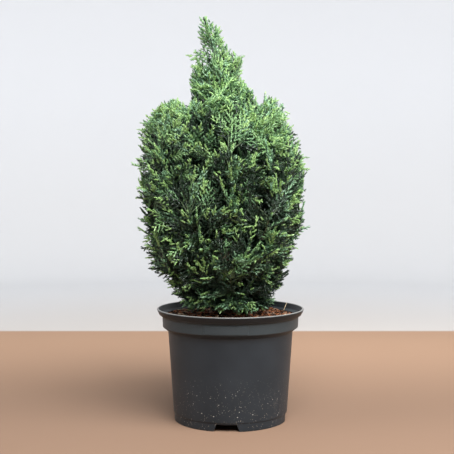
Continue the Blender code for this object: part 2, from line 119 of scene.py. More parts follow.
def grid_faces(rows, columns):
    """Corner numbers of the faces of a closed grid."""
    i, j = np.meshgrid(np.arange(rows - 1), np.arange(columns), indexing="ij")
    low, high, k = i * columns, (i + 1) * columns, (j + 1) % columns
    return np.stack([low + j, low + k, high + k, high + j], -1).reshape(-1, 4)


def merge_points(mesh):
    """Merges points of a mesh that lie on each other."""
    shape = bmesh.new()
    shape.from_mesh(mesh)
    bmesh.ops.remove_doubles(shape, verts=shape.verts, dist=1e-6)
    shape.to_mesh(mesh)
    shape.free()
    return mesh


NOISE_SIDE = 64
NOISE_TABLE = np.random.default_rng(7).uniform(-1, 1, (NOISE_SIDE, NOISE_SIDE))


def noise(u, v, around=NOISE_SIDE):
    """Random heights at whole numbers of u and v, joined by eased blends. It repeats after `around` in u."""
    iu, iv = np.floor(u).astype(int), np.floor(v).astype(int)
    su, sv = u - iu, v - iv
    su, sv = su * su * (3 - 2 * su), sv * sv * (3 - 2 * sv)
    left, right = iu % around, (iu + 1) % around
    low, high = (
        NOISE_TABLE[left, row] * (1 - su) + NOISE_TABLE[right, row] * su
        for row in (iv % NOISE_SIDE, (iv + 1) % NOISE_SIDE)
    )
    return low * (1 - sv) + high * sv


# %% [markdown]
# Every living part from bough to leaf is a thin thing on a curve, so one rule makes them all. A template
# gives each of its points a share of the length, t, and a place across, a and b. It is laid along any
# number of quadratic curves at once: start, control and end give the line, and two radii the taper.

# %% Shapes along curves
UP = np.array([0.0, 0.0, 1.0])


def unit(vectors):
    """Vectors brought to length 1."""
    return vectors / np.maximum(np.linalg.norm(vectors, axis=-1, keepdims=True), 1e-12)


def level(turn):
    """Level unit vectors at angles."""
    return np.stack([np.cos(turn), np.sin(turn), 0 * turn], 1)


def full(count, value):
    """One value for every member."""
    return np.full(count, float(value))


def curve(start, control, end, t):
    """Points of quadratic curves at shares of their length, weighed by (1-t)^2, 2t(1-t) and t^2."""
    return start * (1 - t) ** 2 + control * 2 * t * (1 - t) + end * t**2


def curve_way(start, control, end, t):
    """Headings of quadratic curves at shares of their length."""
    return unit(2 * (1 - t) * (control - start) + 2 * t * (end - control))


def squared(vectors, axes):
    """What is left of vectors when the part along unit axes is taken off, brought to length 1."""
    return unit(vectors - axes * (vectors * axes).sum(1, keepdims=True))


def tipped(axes, sides, angle):
    """Vectors between axes and the sides square to them, at an angle from the axis."""
    return axes * np.cos(angle)[:, None] + sides * np.sin(angle)[:, None]


def turned(vectors, axes, angle):
    """Vectors turned about axes square to them."""
    return tipped(vectors, np.cross(axes, vectors), angle)


def tube_template(rows, sides):
    """A closed round rod: a middle point at its foot, rings at the given shares, and one point at its tip."""
    turn = np.linspace(0, 2 * math.pi, sides, endpoint=False)
    t = np.concatenate([[rows[0]], np.repeat(rows, sides), [1.0]])
    a = np.concatenate([[0.0], np.tile(np.cos(turn), len(rows)), [0.0]])
    b = np.concatenate([[0.0], np.tile(np.sin(turn), len(rows)), [0.0]])
    k = np.arange(sides)
    j, tip = (k + 1) % sides, len(t) - 1
    faces = [np.stack([0 * k, 1 + j, 1 + k], 1)]
    for row in range(len(rows) - 1):
        low, high = 1 + row * sides, 1 + (row + 1) * sides
        faces += [np.stack([low + k, low + j, high + j], 1), np.stack([low + k, high + j, high + k], 1)]
    top = 1 + (len(rows) - 1) * sides
    faces.append(np.stack([top + k, top + j, 0 * k + tip], 1))
    return np.column_stack([t, a, b]), np.concatenate(faces)


# Places across a shoot in its radii: half a leaf's width, its foot and its keel. A turn sets them askew
LEAF_HALF_WIDTH, LEAF_FOOT, LEAF_KEEL = 1.25, 0.7, 1.7
LEAF_TURN = 0.5


def with_leaves(template, places, length, stand):
    """Adds opposite pairs of folded awl leaves to a rod, each pair turned a quarter from the last."""
    points, faces = [template[0]], [template[1]]
    count = len(template[0])
    for pair, place in enumerate(places):
        for turn in (0.0, math.pi):
            angle = turn + pair % 2 * math.pi / 2 + LEAF_TURN
            out = np.array([math.cos(angle), math.sin(angle)])
            side = np.array([-out[1], out[0]]) * LEAF_HALF_WIDTH
            flat = np.array([out * LEAF_FOOT + side, out * LEAF_KEEL, out * LEAF_FOOT - side, out * stand])
            shares = np.array([place, place + 0.06 * length, place, place + length])
            points.append(np.column_stack([shares, flat]))
            faces.append(np.array([(0, 3, 1), (2, 1, 3)]) + count)
            count += 4
    return np.concatenate(points), np.concatenate(faces)


def across(heading, roll):
    """Two unit vectors square to each heading and to each other, turned about it by a roll."""
    helper = np.where(np.abs(heading[:, 2:]) < 0.9, UP, [1.0, 0.0, 0.0])
    u = unit(np.cross(helper, heading))
    v = np.cross(heading, u)
    return tipped(u, v, roll), tipped(v, -u, roll)


def lay(template, start, control, end, foot_radius, tip_radius, roll):
    """Copies of a template along quadratic curves, as one array of points and one of faces."""
    shape, faces = template
    t, a, b = (shape[None, :, k] for k in range(3))
    line = curve(start[:, None], control[:, None], end[:, None], t[..., None])
    u, v = across(unit(end - start), roll)
    radius = foot_radius[:, None] + (tip_radius - foot_radius)[:, None] * t
    points = line + (u[:, None] * a[..., None] + v[:, None] * b[..., None]) * radius[..., None]
    return points.reshape(-1, 3), repeated(faces, len(start), len(shape))


def repeated(faces, copies, points):
    """Faces of one shape for many copies of it, each with the next set of points."""
    return (faces[None] + np.arange(copies)[:, None, None] * points).reshape(-1, faces.shape[1])


def with_taper(line, foot, tip, roll=None):
    """What a template is laid along: the curves' starts, controls and ends, then two radii and a roll."""
    count = len(line[0])
    return *line, full(count, foot), full(count, tip), full(count, 0) if roll is None else roll


def joined(parts):
    """Several arrays of points and faces as one."""
    starts = np.cumsum([0] + [len(points) for points, _ in parts[:-1]])
    faces = [some + start for (_, some), start in zip(parts, starts)]
    return np.concatenate([points for points, _ in parts]), np.concatenate(faces)


def bent(place, first, last, length):
    """Curves that set out along one heading and end along another, with half of their length for each."""
    half = (length * 0.5)[:, None]
    control = place + first * half
    return place, control, control + last * half

# %% [markdown]
# Three effects come back in several finishes, so each is a node group with named sockets. Patchy colour
# blends two colours by soft noise. Specks scatters small round grains of chosen size and share. Grain
# gives the height of a fine relief that can be drawn out along Z, as bark fibres are.

# %% Shader groups
COLOUR, NUMBER = "NodeSocketColor", "NodeSocketFloat"


def new_group(name, inputs, label, kind):
    """An empty shader group: inputs with their first values, None for a colour, and one output."""
    tree = bpy.data.node_groups.new(name, "ShaderNodeTree")
    for given, value in inputs.items():
        given_kind = COLOUR if value is None else NUMBER
        socket = tree.interface.new_socket(given, in_out="INPUT", socket_type=given_kind)
        if value is not None:
            socket.default_value = value
    tree.interface.new_socket(label, in_out="OUTPUT", socket_type=kind)
    return tree, tree.nodes.new("NodeGroupInput").outputs, tree.nodes.new("NodeGroupOutput").inputs[label]


def add_node(tree, kind, inputs=None, **settings):
    """A shader node with its settings; an input is a number or colour, or a socket to link from."""
    made = tree.nodes.new("ShaderNode" + kind)
    for key, value in settings.items():
        setattr(made, key, value)
    for key, value in (inputs or {}).items():
        if isinstance(value, bpy.types.NodeSocket):
            tree.links.new(value, made.inputs[key])
        else:
            made.inputs[key].default_value = value
    return made


def object_point(tree):
    """The Object coordinates, which stay with the piece from every side."""
    return add_node(tree, "TexCoord").outputs["Object"]


def combine(tree, operation, a, b):
    """A Math node on two numbers or sockets."""
    return add_node(tree, "Math", {0: a, 1: b}, operation=operation).outputs[0]


def mix_colours(tree, factor, first, second):
    """A blend of two colours. The Mix node's sockets for colours are its inputs 6 and 7 and its output 2."""
    return add_node(tree, "Mix", {"Factor": factor, 6: first, 7: second}, data_type="RGBA").outputs[2]


def build_patchy():
    """Mix of a dark and a light colour by noise that is spread between two limits."""
    inputs = {"Dark": None, "Light": None, "Scale": 40.0, "Low": 0.35, "High": 0.65}
    tree, given, out = new_group("Patchy colour", inputs, "Colour", COLOUR)
    cloud = add_node(tree, "TexNoise", {"Vector": object_point(tree), "Scale": given["Scale"], "Detail": 3.0})
    limits = {"Value": cloud.outputs["Fac"], "From Min": given["Low"], "From Max": given["High"]}
    spread = add_node(tree, "MapRange", limits)
    tree.links.new(mix_colours(tree, spread.outputs["Result"], given["Dark"], given["Light"]), out)
    return tree


def build_specks():
    """Round grains in random cells. A cell's colour says whether it has a grain, and of what size."""
    tree, given, out = new_group("Specks", {"Scale": 300.0, "Size": 0.2, "Share": 0.1}, "Mask", NUMBER)
    cells = add_node(tree, "TexVoronoi", {"Vector": object_point(tree), "Scale": given["Scale"]})
    parts = add_node(tree, "SeparateColor", {"Color": cells.outputs["Color"]})
    chosen = combine(tree, "LESS_THAN", parts.outputs["Red"], given["Share"])
    size = combine(tree, "MULTIPLY", parts.outputs["Green"], given["Size"])
    near = combine(tree, "LESS_THAN", cells.outputs["Distance"], size)
    tree.links.new(combine(tree, "MULTIPLY", chosen, near), out)
    return tree


def build_grain():
    """Height of a fine noise on coordinates that are pressed together along Z by the stretch."""
    tree, given, out = new_group("Grain", {"Scale": 800.0, "Stretch": 1.0}, "Height", NUMBER)
    parts = add_node(tree, "SeparateXYZ", {"Vector": object_point(tree)}).outputs
    tall = combine(tree, "DIVIDE", parts["Z"], given["Stretch"])
    place = add_node(tree, "CombineXYZ", {"X": parts["X"], "Y": parts["Y"], "Z": tall}).outputs[0]
    fine = add_node(tree, "TexNoise", {"Vector": place, "Scale": given["Scale"], "Detail": 4.0})
    tree.links.new(fine.outputs["Fac"], out)
    return tree


PATCHY, SPECKS, GRAIN = build_patchy(), build_specks(), build_grain()


def use_group(material, group, **values):
    """Places a group in a material with its own values."""
    made = material.node_tree.nodes.new("ShaderNodeGroup")
    made.node_tree = group
    for key, value in values.items():
        made.inputs[key].default_value = (*value, 1.0) if isinstance(value, tuple) else value
    return made


def new_finish(name, roughness, specular):
    """A material with its shader, whose uniform values sit on the shader's own sockets."""
    material = bpy.data.materials.new(name)
    material.use_nodes = True
    shader = material.node_tree.nodes["Principled BSDF"]
    shader.inputs["Roughness"].default_value = roughness
    shader.inputs["Specular IOR Level"].default_value = specular
    return material, shader


def add_relief(material, shader, strength, distance, scale, stretch=1.0):
    """Feeds the height of a grain to the shader's normal through a Bump node."""
    grain = use_group(material, GRAIN, Scale=scale, Stretch=stretch)
    height = {"Height": grain.outputs["Height"], "Strength": strength, "Distance": distance}
    bump = add_node(material.node_tree, "Bump", height)
    material.node_tree.links.new(bump.outputs["Normal"], shader.inputs["Normal"])


def patchy_finish(name, shine, colours, patches, relief):
    """A finish of patches between two colours, with a fine relief. Shine is roughness and specular level,
    patches are their scale and the noise's two limits, and relief goes on to add_relief."""
    material, shader = new_finish(name, *shine)
    labels = "Dark", "Light", "Scale", "Low", "High"
    cloud = use_group(material, PATCHY, **dict(zip(labels, (*colours, *patches))))
    material.node_tree.links.new(cloud.outputs["Colour"], shader.inputs["Base Color"])
    add_relief(material, shader, *relief)
    return material


# %% [markdown]
# The studio is a round bowl of card: a flat floor whose edge sweeps up into a wall. A bowl has no corner,
# so the plant can be looked at from every side. Its floor is tan, like the planks in the photograph, and
# ends at a line. Behind the plant the floor is painted paler: painted light, which also lifts the shadow
# that the plant casts there. Its wall is white behind the plant and darker towards the camera, so little
# light comes back from the front. One large soft light stands in front, above and to the right. It draws
# each shoot on the crown's heart, whose dark is partly painted shade, and is low enough to reach the foot
# of the crown. Two small ones at the sides keep the crown's edges from sinking.

# %% Studio
BOWL_FLOOR = 2.05
BOWL_CURVE = 0.55
BOWL_TOP = 2.3
CARD_FLOOR = (0.205, 0.130, 0.088, 1.0)
# painted light: the floor behind the plant is painted paler, which lifts the plant's cast shadow
CARD_FLOOR_PAINTED_LIGHT = (0.390, 0.245, 0.160, 1.0)
CARD_FAR = (0.54, 0.51, 0.485, 1.0)
CARD_CURVE = (0.70, 0.705, 0.715, 1.0)
CARD_WALL = (0.765, 0.785, 0.815, 1.0)
CARD_FRONT = (0.17, 0.20, 0.25, 1.0)
FLOOR_LINE = 0.855
LIT_PLACE = (0.0, 0.0, 0.36)
SKY_COLOUR, SKY_STRENGTH = (0.93, 0.96, 1.0, 1.0), 0.54


def build_bowl():
    """A profile of flat floor, quarter circle and upright wall, turned round the Z axis, facing inwards."""
    bend = np.linspace(0, math.pi / 2, 13)
    curved = BOWL_FLOOR + BOWL_CURVE * np.sin(bend)
    radius = np.concatenate([[0.0, 0.4, 0.8, 1.4], curved, [BOWL_FLOOR + BOWL_CURVE]])
    height = np.concatenate([np.zeros(4), BOWL_CURVE * (1 - np.cos(bend)), [BOWL_TOP]])
    turn = np.linspace(0, 2 * math.pi, 96, endpoint=False)
    return grid_mesh("studio_bowl", rings(radius, height, turn), True)


def add_light(name, place, size, power, colour):
    """A square soft light at a place, turned to face the middle of the plant."""
    data = bpy.data.lights.new(name, "AREA")
    data.shape, data.size, data.energy, data.color = "SQUARE", size, power, colour
    light = bpy.data.objects.new(name, data)
    light.location = place
    aim = np.array(LIT_PLACE) - np.array(place)
    flat = math.hypot(aim[0], aim[1])
    light.rotation_euler = (math.atan2(flat, -aim[2]), 0.0, math.atan2(aim[1], aim[0]) - math.pi / 2)
    scene.collection.objects.link(light)


def card_finish():
    """Plain card: a tan floor that ends at a line and is painted paler behind the plant as painted light, a
    white wall behind the plant, a dark wall in front.
    """
    material, shader = new_finish("studio_card", 0.9, 0.2)
    tree = material.node_tree
    place = object_point(tree)
    away = add_node(tree, "VectorMath", {0: place}, operation="LENGTH").outputs["Value"]
    parts = add_node(tree, "SeparateXYZ", {"Vector": place})

    def blend(value, low, high, first, second):
        """Eases from one colour to another while a value goes from low to high."""
        limits = {"Value": value, "From Min": low, "From Max": high}
        spread = add_node(tree, "MapRange", limits, interpolation_type="SMOOTHSTEP")
        return mix_colours(tree, spread.outputs["Result"], first, second)

    behind = parts.outputs["Y"]
    wall = blend(behind, -0.2, -1.6, CARD_WALL, CARD_FRONT)
    far = blend(away, FLOOR_LINE, BOWL_FLOOR, CARD_FAR, CARD_CURVE)
    # painted light: the floor is painted paler behind the plant, where its shadow falls
    floor_painted_light = blend(behind, 0.0, 0.75, CARD_FLOOR, CARD_FLOOR_PAINTED_LIGHT)
    near = blend(away, 1.15, 1.9, floor_painted_light, far)
    floor = blend(behind, FLOOR_LINE, FLOOR_LINE + 0.03, near, far)
    card = blend(parts.outputs["Z"], 0.1, 0.9, floor, wall)
    tree.links.new(card, shader.inputs["Base Color"])
    return material


add_piece("studio_bowl", build_bowl(), card_finish())
add_light("light_over", (0.40, -1.00, 1.54), 1.3, 79.0, (1.0, 0.99, 0.98))
add_light("light_right", (1.5, -0.6, 0.9), 0.7, 13.0, (1.0, 0.99, 0.97))
add_light("light_left", (-1.5, -0.5, 1.0), 0.7, 8.0, (1.0, 0.99, 0.97))
world = bpy.data.worlds.new("studio_sky")
scene.world = world
world.use_nodes = True
sky = world.node_tree.nodes["Background"].inputs
sky["Color"].default_value, sky["Strength"].default_value = SKY_COLOUR, SKY_STRENGTH
scene.view_settings.view_transform = "Standard"

# %% [markdown]
# The pot is one wall moulded in charcoal plastic: a rolled lip, a band below it, a shoulder, a tapering
# body and a foot with four drainage notches. Lathe work suits it: an outline of radius and height is
# carried round the axis. The notches and the bare label panel are worked into the same grid, by lifting
# the foot and pushing the band outwards between chosen angles, so that the wall stays one closed skin.

# %% Pot outline
POT_HEIGHT = 0.172
POT_WALL = 0.0018
LIP_RADIUS = 0.1134
FLANGE_BOTTOM = 0.163
BAND_RADIUS = 0.1052
BAND_BOTTOM = 0.1444
BODY_TOP = 0.138
BODY_TOP_RADIUS = 0.0963
FOOT_RADIUS = 0.0871
FOOT_HEIGHT = 0.013
FOOT_INNER = 0.0665
CHANNEL_HEIGHT = 0.009
PAD_RADIUS = 0.031
GAP = 0.0003
FOOT_ROWS = 8


def plain_outline():
    """The pot's outside, without beads, as rows of radius and height from the middle of the foot up."""
    return np.array([
        (0.0, 0.0), (PAD_RADIUS, 0.0), (PAD_RADIUS + 0.0025, CHANNEL_HEIGHT), (0.0590, CHANNEL_HEIGHT),
        (0.0600, CHANNEL_HEIGHT), (FOOT_INNER - 0.0025, CHANNEL_HEIGHT), (FOOT_INNER, 0.0),
        (FOOT_RADIUS - 0.0006, 0.0), (BODY_TOP_RADIUS, BODY_TOP), (BAND_RADIUS - 0.0006, BAND_BOTTOM),
        (BAND_RADIUS, FLANGE_BOTTOM - 0.003), (LIP_RADIUS - 0.0037, FLANGE_BOTTOM),
        (LIP_RADIUS - 0.0008, POT_HEIGHT),
    ])


def inset(profile, distance):
    """A profile moved to its left: each corner goes along its mitre, so the wall keeps one thickness."""
    step = np.diff(profile, axis=0)
    step /= np.linalg.norm(step, axis=1, keepdims=True)
    left = np.stack([-step[:, 1], step[:, 0]], axis=1)
    before, after = np.vstack([left[:1], left]), np.vstack([left, left[-1:]])
    mitre = before + after
    mitre /= (mitre * before).sum(1, keepdims=True)
    moved = profile + mitre * distance
    moved[:, 0] = np.where(profile[:, 0] == 0, 0.0, moved[:, 0])
    return moved


def rounded(profile, radius):
    """Cuts every inner corner back by a radius and bridges the cut with a quadratic curve."""
    corner = profile[1:-1]
    first, last = (
        corner + (to - corner) * np.minimum(radius / np.linalg.norm(to - corner, axis=1, keepdims=True), 0.4)
        for to in (profile[:-2], profile[2:])
    )
    bridge = curve(first[:, None], corner[:, None], last[:, None], np.linspace(0, 1, 4)[None, :, None])
    return np.vstack([profile[:1], bridge.reshape(-1, 2), profile[-1:]])


def filled(profile, longest):
    """Adds points on each run that is longer than a step."""
    parts = []
    for a, b in zip(profile[:-1], profile[1:]):
        count = max(1, math.ceil(np.linalg.norm(b - a) / longest))
        parts.append(a + (b - a) * np.arange(count)[:, None] / count)
    return np.vstack(parts + [profile[-1:]])


def pot_outside():
    """The outline with its foot bead, the edges of the label panel and the rolled lip, corners rounded."""
    rows = plain_outline()
    foot_bead = [(FOOT_RADIUS, FOOT_HEIGHT - 0.0008), (FOOT_RADIUS + 0.0008, FOOT_HEIGHT)]
    lip = [(LIP_RADIUS, POT_HEIGHT - 0.0016)]
    rows = np.vstack([rows[:FOOT_ROWS], foot_bead, rows[FOOT_ROWS:-1], lip, rows[-1:]])
    return filled(rounded(rows, 0.0007), 0.006)


outside = pot_outside()
inside = filled(rounded(inset(plain_outline(), POT_WALL), 0.0009), 0.006)
inside[-1, 1] = POT_HEIGHT

# %% Pot surface
NOTCHES = 4
NOTCH_MIDDLE = math.radians(266)
NOTCH_BOTTOM_HALF = 0.0190
NOTCH_TOP_HALF = 0.0150
NOTCH_HEIGHT = 0.0104
NOTCH_DEPTH_RADIUS = 0.0595
PANEL_HALF = math.radians(18)
PANEL_LOW, PANEL_HIGH = 0.1456, 0.1588
PANEL_PROUD = 0.0009
EDGE_TURN = math.radians(0.25)
PANEL_EASE = 0.0004


def quarter_columns():
    """Angles of the grid's columns within one quarter, with one on each edge of notch and panel."""
    even = np.radians(np.arange(-45, 45, 1.5))
    edges = [math.asin(NOTCH_TOP_HALF / FOOT_RADIUS), math.asin(NOTCH_BOTTOM_HALF / FOOT_RADIUS)]
    edges += [PANEL_HALF - EDGE_TURN, PANEL_HALF]
    return np.sort(np.concatenate([even, edges, [-e for e in edges]]))


def notch_rise(turn):
    """How far the foot is lifted at an angle: nothing beside the notch, its full height in the middle."""
    beside = FOOT_RADIUS * np.abs(np.sin(turn))
    return NOTCH_HEIGHT * np.clip((NOTCH_BOTTOM_HALF - beside) / (NOTCH_BOTTOM_HALF - NOTCH_TOP_HALF), 0, 1)


def straight_turn(turn, radius):
    """The angle at a smaller radius that keeps a notch's sides parallel. The rest of the quarter follows."""
    edge = math.asin(NOTCH_BOTTOM_HALF / FOOT_RADIUS) + 1e-9
    near = np.clip(radius, NOTCH_DEPTH_RADIUS, FOOT_RADIUS)
    inner = np.arcsin(np.clip(FOOT_RADIUS * np.sin(np.clip(turn, -edge, edge)) / near, -1, 1))
    corner = np.arcsin(NOTCH_BOTTOM_HALF / near)
    outer = corner + (np.abs(turn) - edge) * (math.pi / 4 - corner) / (math.pi / 4 - edge)
    return np.where(np.abs(turn) <= edge, inner, np.sign(turn) * outer)


def lifted(radius, height, rise, floor):
    """Heights with the notch: wall rows are pressed together above it, floor rows are raised onto it."""
    lift = np.where(rise > 0, rise + floor, floor)
    wall = (radius > FOOT_RADIUS - 0.004) & (height > floor + 0.0004) & (height < FOOT_HEIGHT)
    pressed = lift + (height - floor) * (FOOT_HEIGHT - lift) / (FOOT_HEIGHT - floor)
    under = (radius > NOTCH_DEPTH_RADIUS) & (height < NOTCH_HEIGHT + floor)
    return np.where(wall, pressed, np.where(under, np.maximum(height, lift), height))


def pot_points(profile, floor, panel):
    """One skin of the pot: the profile carried round with its notches, and the panel on the front quarter."""
    turn = quarter_columns()
    radius, height = profile[:, :1], profile[:, 1:]
    angle = straight_turn(turn[None], radius)
    z = lifted(radius, height, notch_rise(turn)[None], floor)
    over, under = (np.clip(space / PANEL_EASE, 0, 1) for space in (height - PANEL_LOW, PANEL_HIGH - height))
    proud = over * under * np.clip((PANEL_HALF - np.abs(turn)) / EDGE_TURN, 0, 1)[None] * PANEL_PROUD * panel
    quarters = []
    for quarter in range(NOTCHES):
        out = radius + (proud if quarter == 0 else 0 * proud)
        at = angle + NOTCH_MIDDLE + quarter * math.pi / 2
        quarters.append(np.stack([out * np.cos(at), out * np.sin(at), z + 0 * out], axis=-1))
    return np.concatenate(quarters, axis=1)


panel_rows = np.array([PANEL_LOW, PANEL_LOW + PANEL_EASE, PANEL_HIGH - PANEL_EASE, PANEL_HIGH])
panel_radii = np.interp(panel_rows, [BAND_BOTTOM, FLANGE_BOTTOM - 0.003], [BAND_RADIUS - 0.0006, BAND_RADIUS])
above = int(np.argmax(outside[:, 1] > PANEL_LOW))
beyond = int(np.argmax(outside[:, 1] > PANEL_HIGH))
outside = np.vstack([outside[:above], np.stack([panel_radii, panel_rows], 1), outside[beyond:]])
pot_grid = np.concatenate([pot_points(outside, 0.0, 1.0), pot_points(inside[::-1], POT_WALL, 0.0)])
pot_mesh = grid_mesh("pot_shell", pot_grid)

# %% [markdown]
# Used nursery plastic isn't one flat grey. Handling leaves soft scuffs, splashes of mix leave pale specks of
# two sizes low on the body, and the lip's edge is rubbed. The band is painted paler, a painted light on it,
# and from the lip's underside up the plastic is painted near black, a painted shade under the lip. The
# rubbed top edge of the lip is painted pale, partly as a painted highlight. Patchy colour carries the
# scuffs. The other places are found by their height.

# %% Pot finish
def height_mask(material, low, high):
    """0 below one height and 1 above another, or the other way round when they are swapped."""
    tree = material.node_tree
    z = add_node(tree, "SeparateXYZ", {"Vector": object_point(tree)}).outputs["Z"]
    return add_node(tree, "MapRange", {"Value": z, "From Min": low, "From Max": high}).outputs["Result"]


plastic, plastic_shader = new_finish("pot_plastic_charcoal", 0.46, 0.42)
plastic_tree = plastic.node_tree
DARK_PLASTIC, LIGHT_PLASTIC = (0.010, 0.015, 0.020), (0.016, 0.022, 0.028)
scuffs = use_group(plastic, PATCHY, Dark=DARK_PLASTIC, Light=LIGHT_PLASTIC, Scale=22.0, Low=0.3, High=0.75)
dust = use_group(plastic, SPECKS, Scale=400.0, Size=0.30, Share=0.10)
grit = use_group(plastic, SPECKS, Scale=620.0, Size=0.40, Share=0.22)
low_down = height_mask(plastic, 0.085, 0.020)
# the lip's top edge is painted pale: rubbed wear and a painted highlight
worn_edge_and_highlight = height_mask(plastic, 0.1706, 0.1718)
painted_light_band_foot, painted_light_band_head = height_mask(plastic, 0.1436, 0.1450), height_mask(plastic, 0.1640, 0.1626)
layers = (
    # colour, and two masks that are multiplied: band painted paler as painted light, lip painted near black
    # as painted shade, dust, grit, rubbed edge painted pale with a painted highlight
    # painted light: the band is painted paler than the body
    ((0.023, 0.031, 0.035), painted_light_band_foot, painted_light_band_head),
    # painted shade: the plastic from the lip's underside up is painted near black
    ((0.003, 0.006, 0.009), height_mask(plastic, 0.1628, 0.1636), 1.0),
    ((0.55, 0.52, 0.47), dust.outputs["Mask"], low_down),
    ((0.20, 0.18, 0.15), grit.outputs["Mask"], low_down),
    # rubbed wear and a painted highlight on the lip's top edge
    ((0.20, 0.20, 0.19), worn_edge_and_highlight, worn_edge_and_highlight),
)
skin = scuffs.outputs["Colour"]
for layer, mask, place in layers:
    skin = mix_colours(plastic_tree, combine(plastic_tree, "MULTIPLY", mask, place), skin, (*layer, 1.0))
plastic_tree.links.new(skin, plastic_shader.inputs["Base Color"])
add_relief(plastic, plastic_shader, 0.25, 0.0004, 900.0)
pot = add_piece("pot_shell", pot_mesh, plastic, "pot_plastic", ["pot"])

# %% [markdown]
# Water leaves through four round holes in the ring under the pot, halfway between the notches. A grid of
# rows and columns can't follow a small circle there, so these are cut with a Boolean by plain rods.

# %% Drain holes
DRAIN_RADIUS = 0.0065
DRAIN_RING = (PAD_RADIUS + FOOT_INNER) / 2
DRAIN_LOW, DRAIN_HIGH = 0.004, 0.0135
DRAIN_SIDES = 28
SHARP_EDGE = math.radians(38)
drain_turn = NOTCH_MIDDLE + (np.arange(NOTCHES) + 0.5) * math.pi / 2
drain_foot, drain_middle, drain_head = (
    DRAIN_RING * level(drain_turn) + UP * z for z in (DRAIN_LOW, (DRAIN_LOW + DRAIN_HIGH) / 2, DRAIN_HIGH)
)
drain_rods = with_taper((drain_foot, drain_middle, drain_head), DRAIN_RADIUS, DRAIN_RADIUS)
cutter_mesh = new_mesh("drain_cutter", *lay(tube_template([0.0, 1.0], DRAIN_SIDES), *drain_rods))
cutter = add_piece("drain_cutter", cutter_mesh, plastic)
cut = pot.modifiers.new("Drain", "BOOLEAN")
cut.operation, cut.solver, cut.object = "DIFFERENCE", "EXACT", cutter
bpy.context.view_layer.update()
drained = bpy.data.meshes.new_from_object(pot.evaluated_get(bpy.context.evaluated_depsgraph_get()))
pot.modifiers.clear()
pot.data = drained
bpy.data.objects.remove(cutter)
pot.data.set_sharp_from_angle(angle=SHARP_EDGE)
print("pot after drilling:", len(pot.data.polygons), "faces")

# %% [markdown]
# The potting mix is chopped bark and fibre, reddish brown and rough. Its bed is a disc whose height is the
# sum of a low mound and two sizes of noise. Two thousand chips lie on it, each a crooked block of eight
# corners: dark, red or tan. Pale straws are laid among them, and one of them leans on the pot's wall.

# %% Potting mix bed
MIX_BOTTOM = 0.014
MIX_EDGE = 0.160
MIX_CROWN = 0.1635
MIX_CROWN_RADIUS = 0.026
MIX_ROWS, MIX_COLUMNS = 60, 200
WALL_ROWS = inset(plain_outline(), POT_WALL + GAP)


def mix_radius(z):
    """Radius of the mix at a height: the pot's wall less a hair."""
    wall = WALL_ROWS[FOOT_ROWS - 1:]
    return np.interp(z, wall[:, 1], wall[:, 0])


def mix_height(x, y):
    """Height of the bed: a flat mound round the trunk, falling to the edge, roughened by noise."""
    radius = np.hypot(x, y)
    ring = [0.0, MIX_CROWN_RADIUS, (mix_radius(MIX_EDGE) + MIX_CROWN_RADIUS) / 2, mix_radius(MIX_EDGE)]
    mound = np.interp(radius, ring, [MIX_CROWN, MIX_CROWN, MIX_EDGE + 0.0012, MIX_EDGE])
    rough = 0.0016 * noise(x / 0.011 + 9, y / 0.011 + 5) + 0.0009 * noise(x / 0.0037 + 3, y / 0.0037 + 7)
    fade = np.clip((mix_radius(MIX_EDGE) - radius) / 0.004, 0, 1)
    return mound + rough * fade


def mix_mesh():
    """The bed's disc, then the side down along the wall, then the flat bottom: one closed skin."""
    turn = np.linspace(0, 2 * math.pi, MIX_COLUMNS, endpoint=False)
    radius = np.linspace(0, mix_radius(MIX_EDGE), MIX_ROWS)
    bed = rings(radius, 0 * radius, turn)
    bed[..., 2] = mix_height(bed[..., 0], bed[..., 1])
    corners = WALL_ROWS[(WALL_ROWS[:, 1] > MIX_BOTTOM) & (WALL_ROWS[:, 1] < MIX_EDGE), 1]
    heights = np.append(np.sort(corners)[::-1], MIX_BOTTOM)
    side = rings(np.append(mix_radius(heights), 0.0), np.append(heights, MIX_BOTTOM), turn)
    return grid_mesh("mix_bed", np.concatenate([bed, side]), True)


def earth_finish(name, dark, light, scale=260.0):
    """A rough brown with patches and a crumbly relief."""
    return patchy_finish(name, (0.92, 0.25), (dark, light), (scale, 0.38, 0.62), (0.8, 0.0012, 700.0))


bed_finish = earth_finish("mix_bed_brown", (0.020, 0.009, 0.005), (0.095, 0.046, 0.026))
add_piece("mix_bed", mix_mesh(), bed_finish, "potting_mix", ["potting_mix"])

# %% Chips
BOX_CORNERS = np.array([(x, y, z) for z in (-1, 1) for y in (-1, 1) for x in (-1, 1)], float)
BOX_FACES = np.array([(0, 2, 3, 1), (4, 5, 7, 6), (0, 1, 5, 4), (2, 6, 7, 3), (0, 4, 6, 2), (1, 3, 7, 5)])


def crooked_boxes(middles, lengths, chance):
    """Blocks with wandering corners, each turned about Z and tipped a little, from one box of corners."""
    count = len(middles)
    sizes = lengths[:, None] * np.array([0.5, 0.27, 0.13]) * chance.uniform(0.75, 1.25, (count, 3))
    corners = BOX_CORNERS[None] * sizes[:, None] * chance.uniform(0.6, 1.15, (count, 8, 3))
    turn = chance.uniform(-math.pi, math.pi, count)
    tip, roll = chance.normal(0, 0.3, (2, count))
    for angle, first, second in ((roll, 1, 2), (tip, 0, 2), (turn, 0, 1)):
        c, s = np.cos(angle)[:, None], np.sin(angle)[:, None]
        a, b = corners[..., first].copy(), corners[..., second].copy()
        corners[..., first], corners[..., second] = a * c - b * s, a * s + b * c
    return (corners + middles[:, None]).reshape(-1, 3), repeated(BOX_FACES, count, 8)


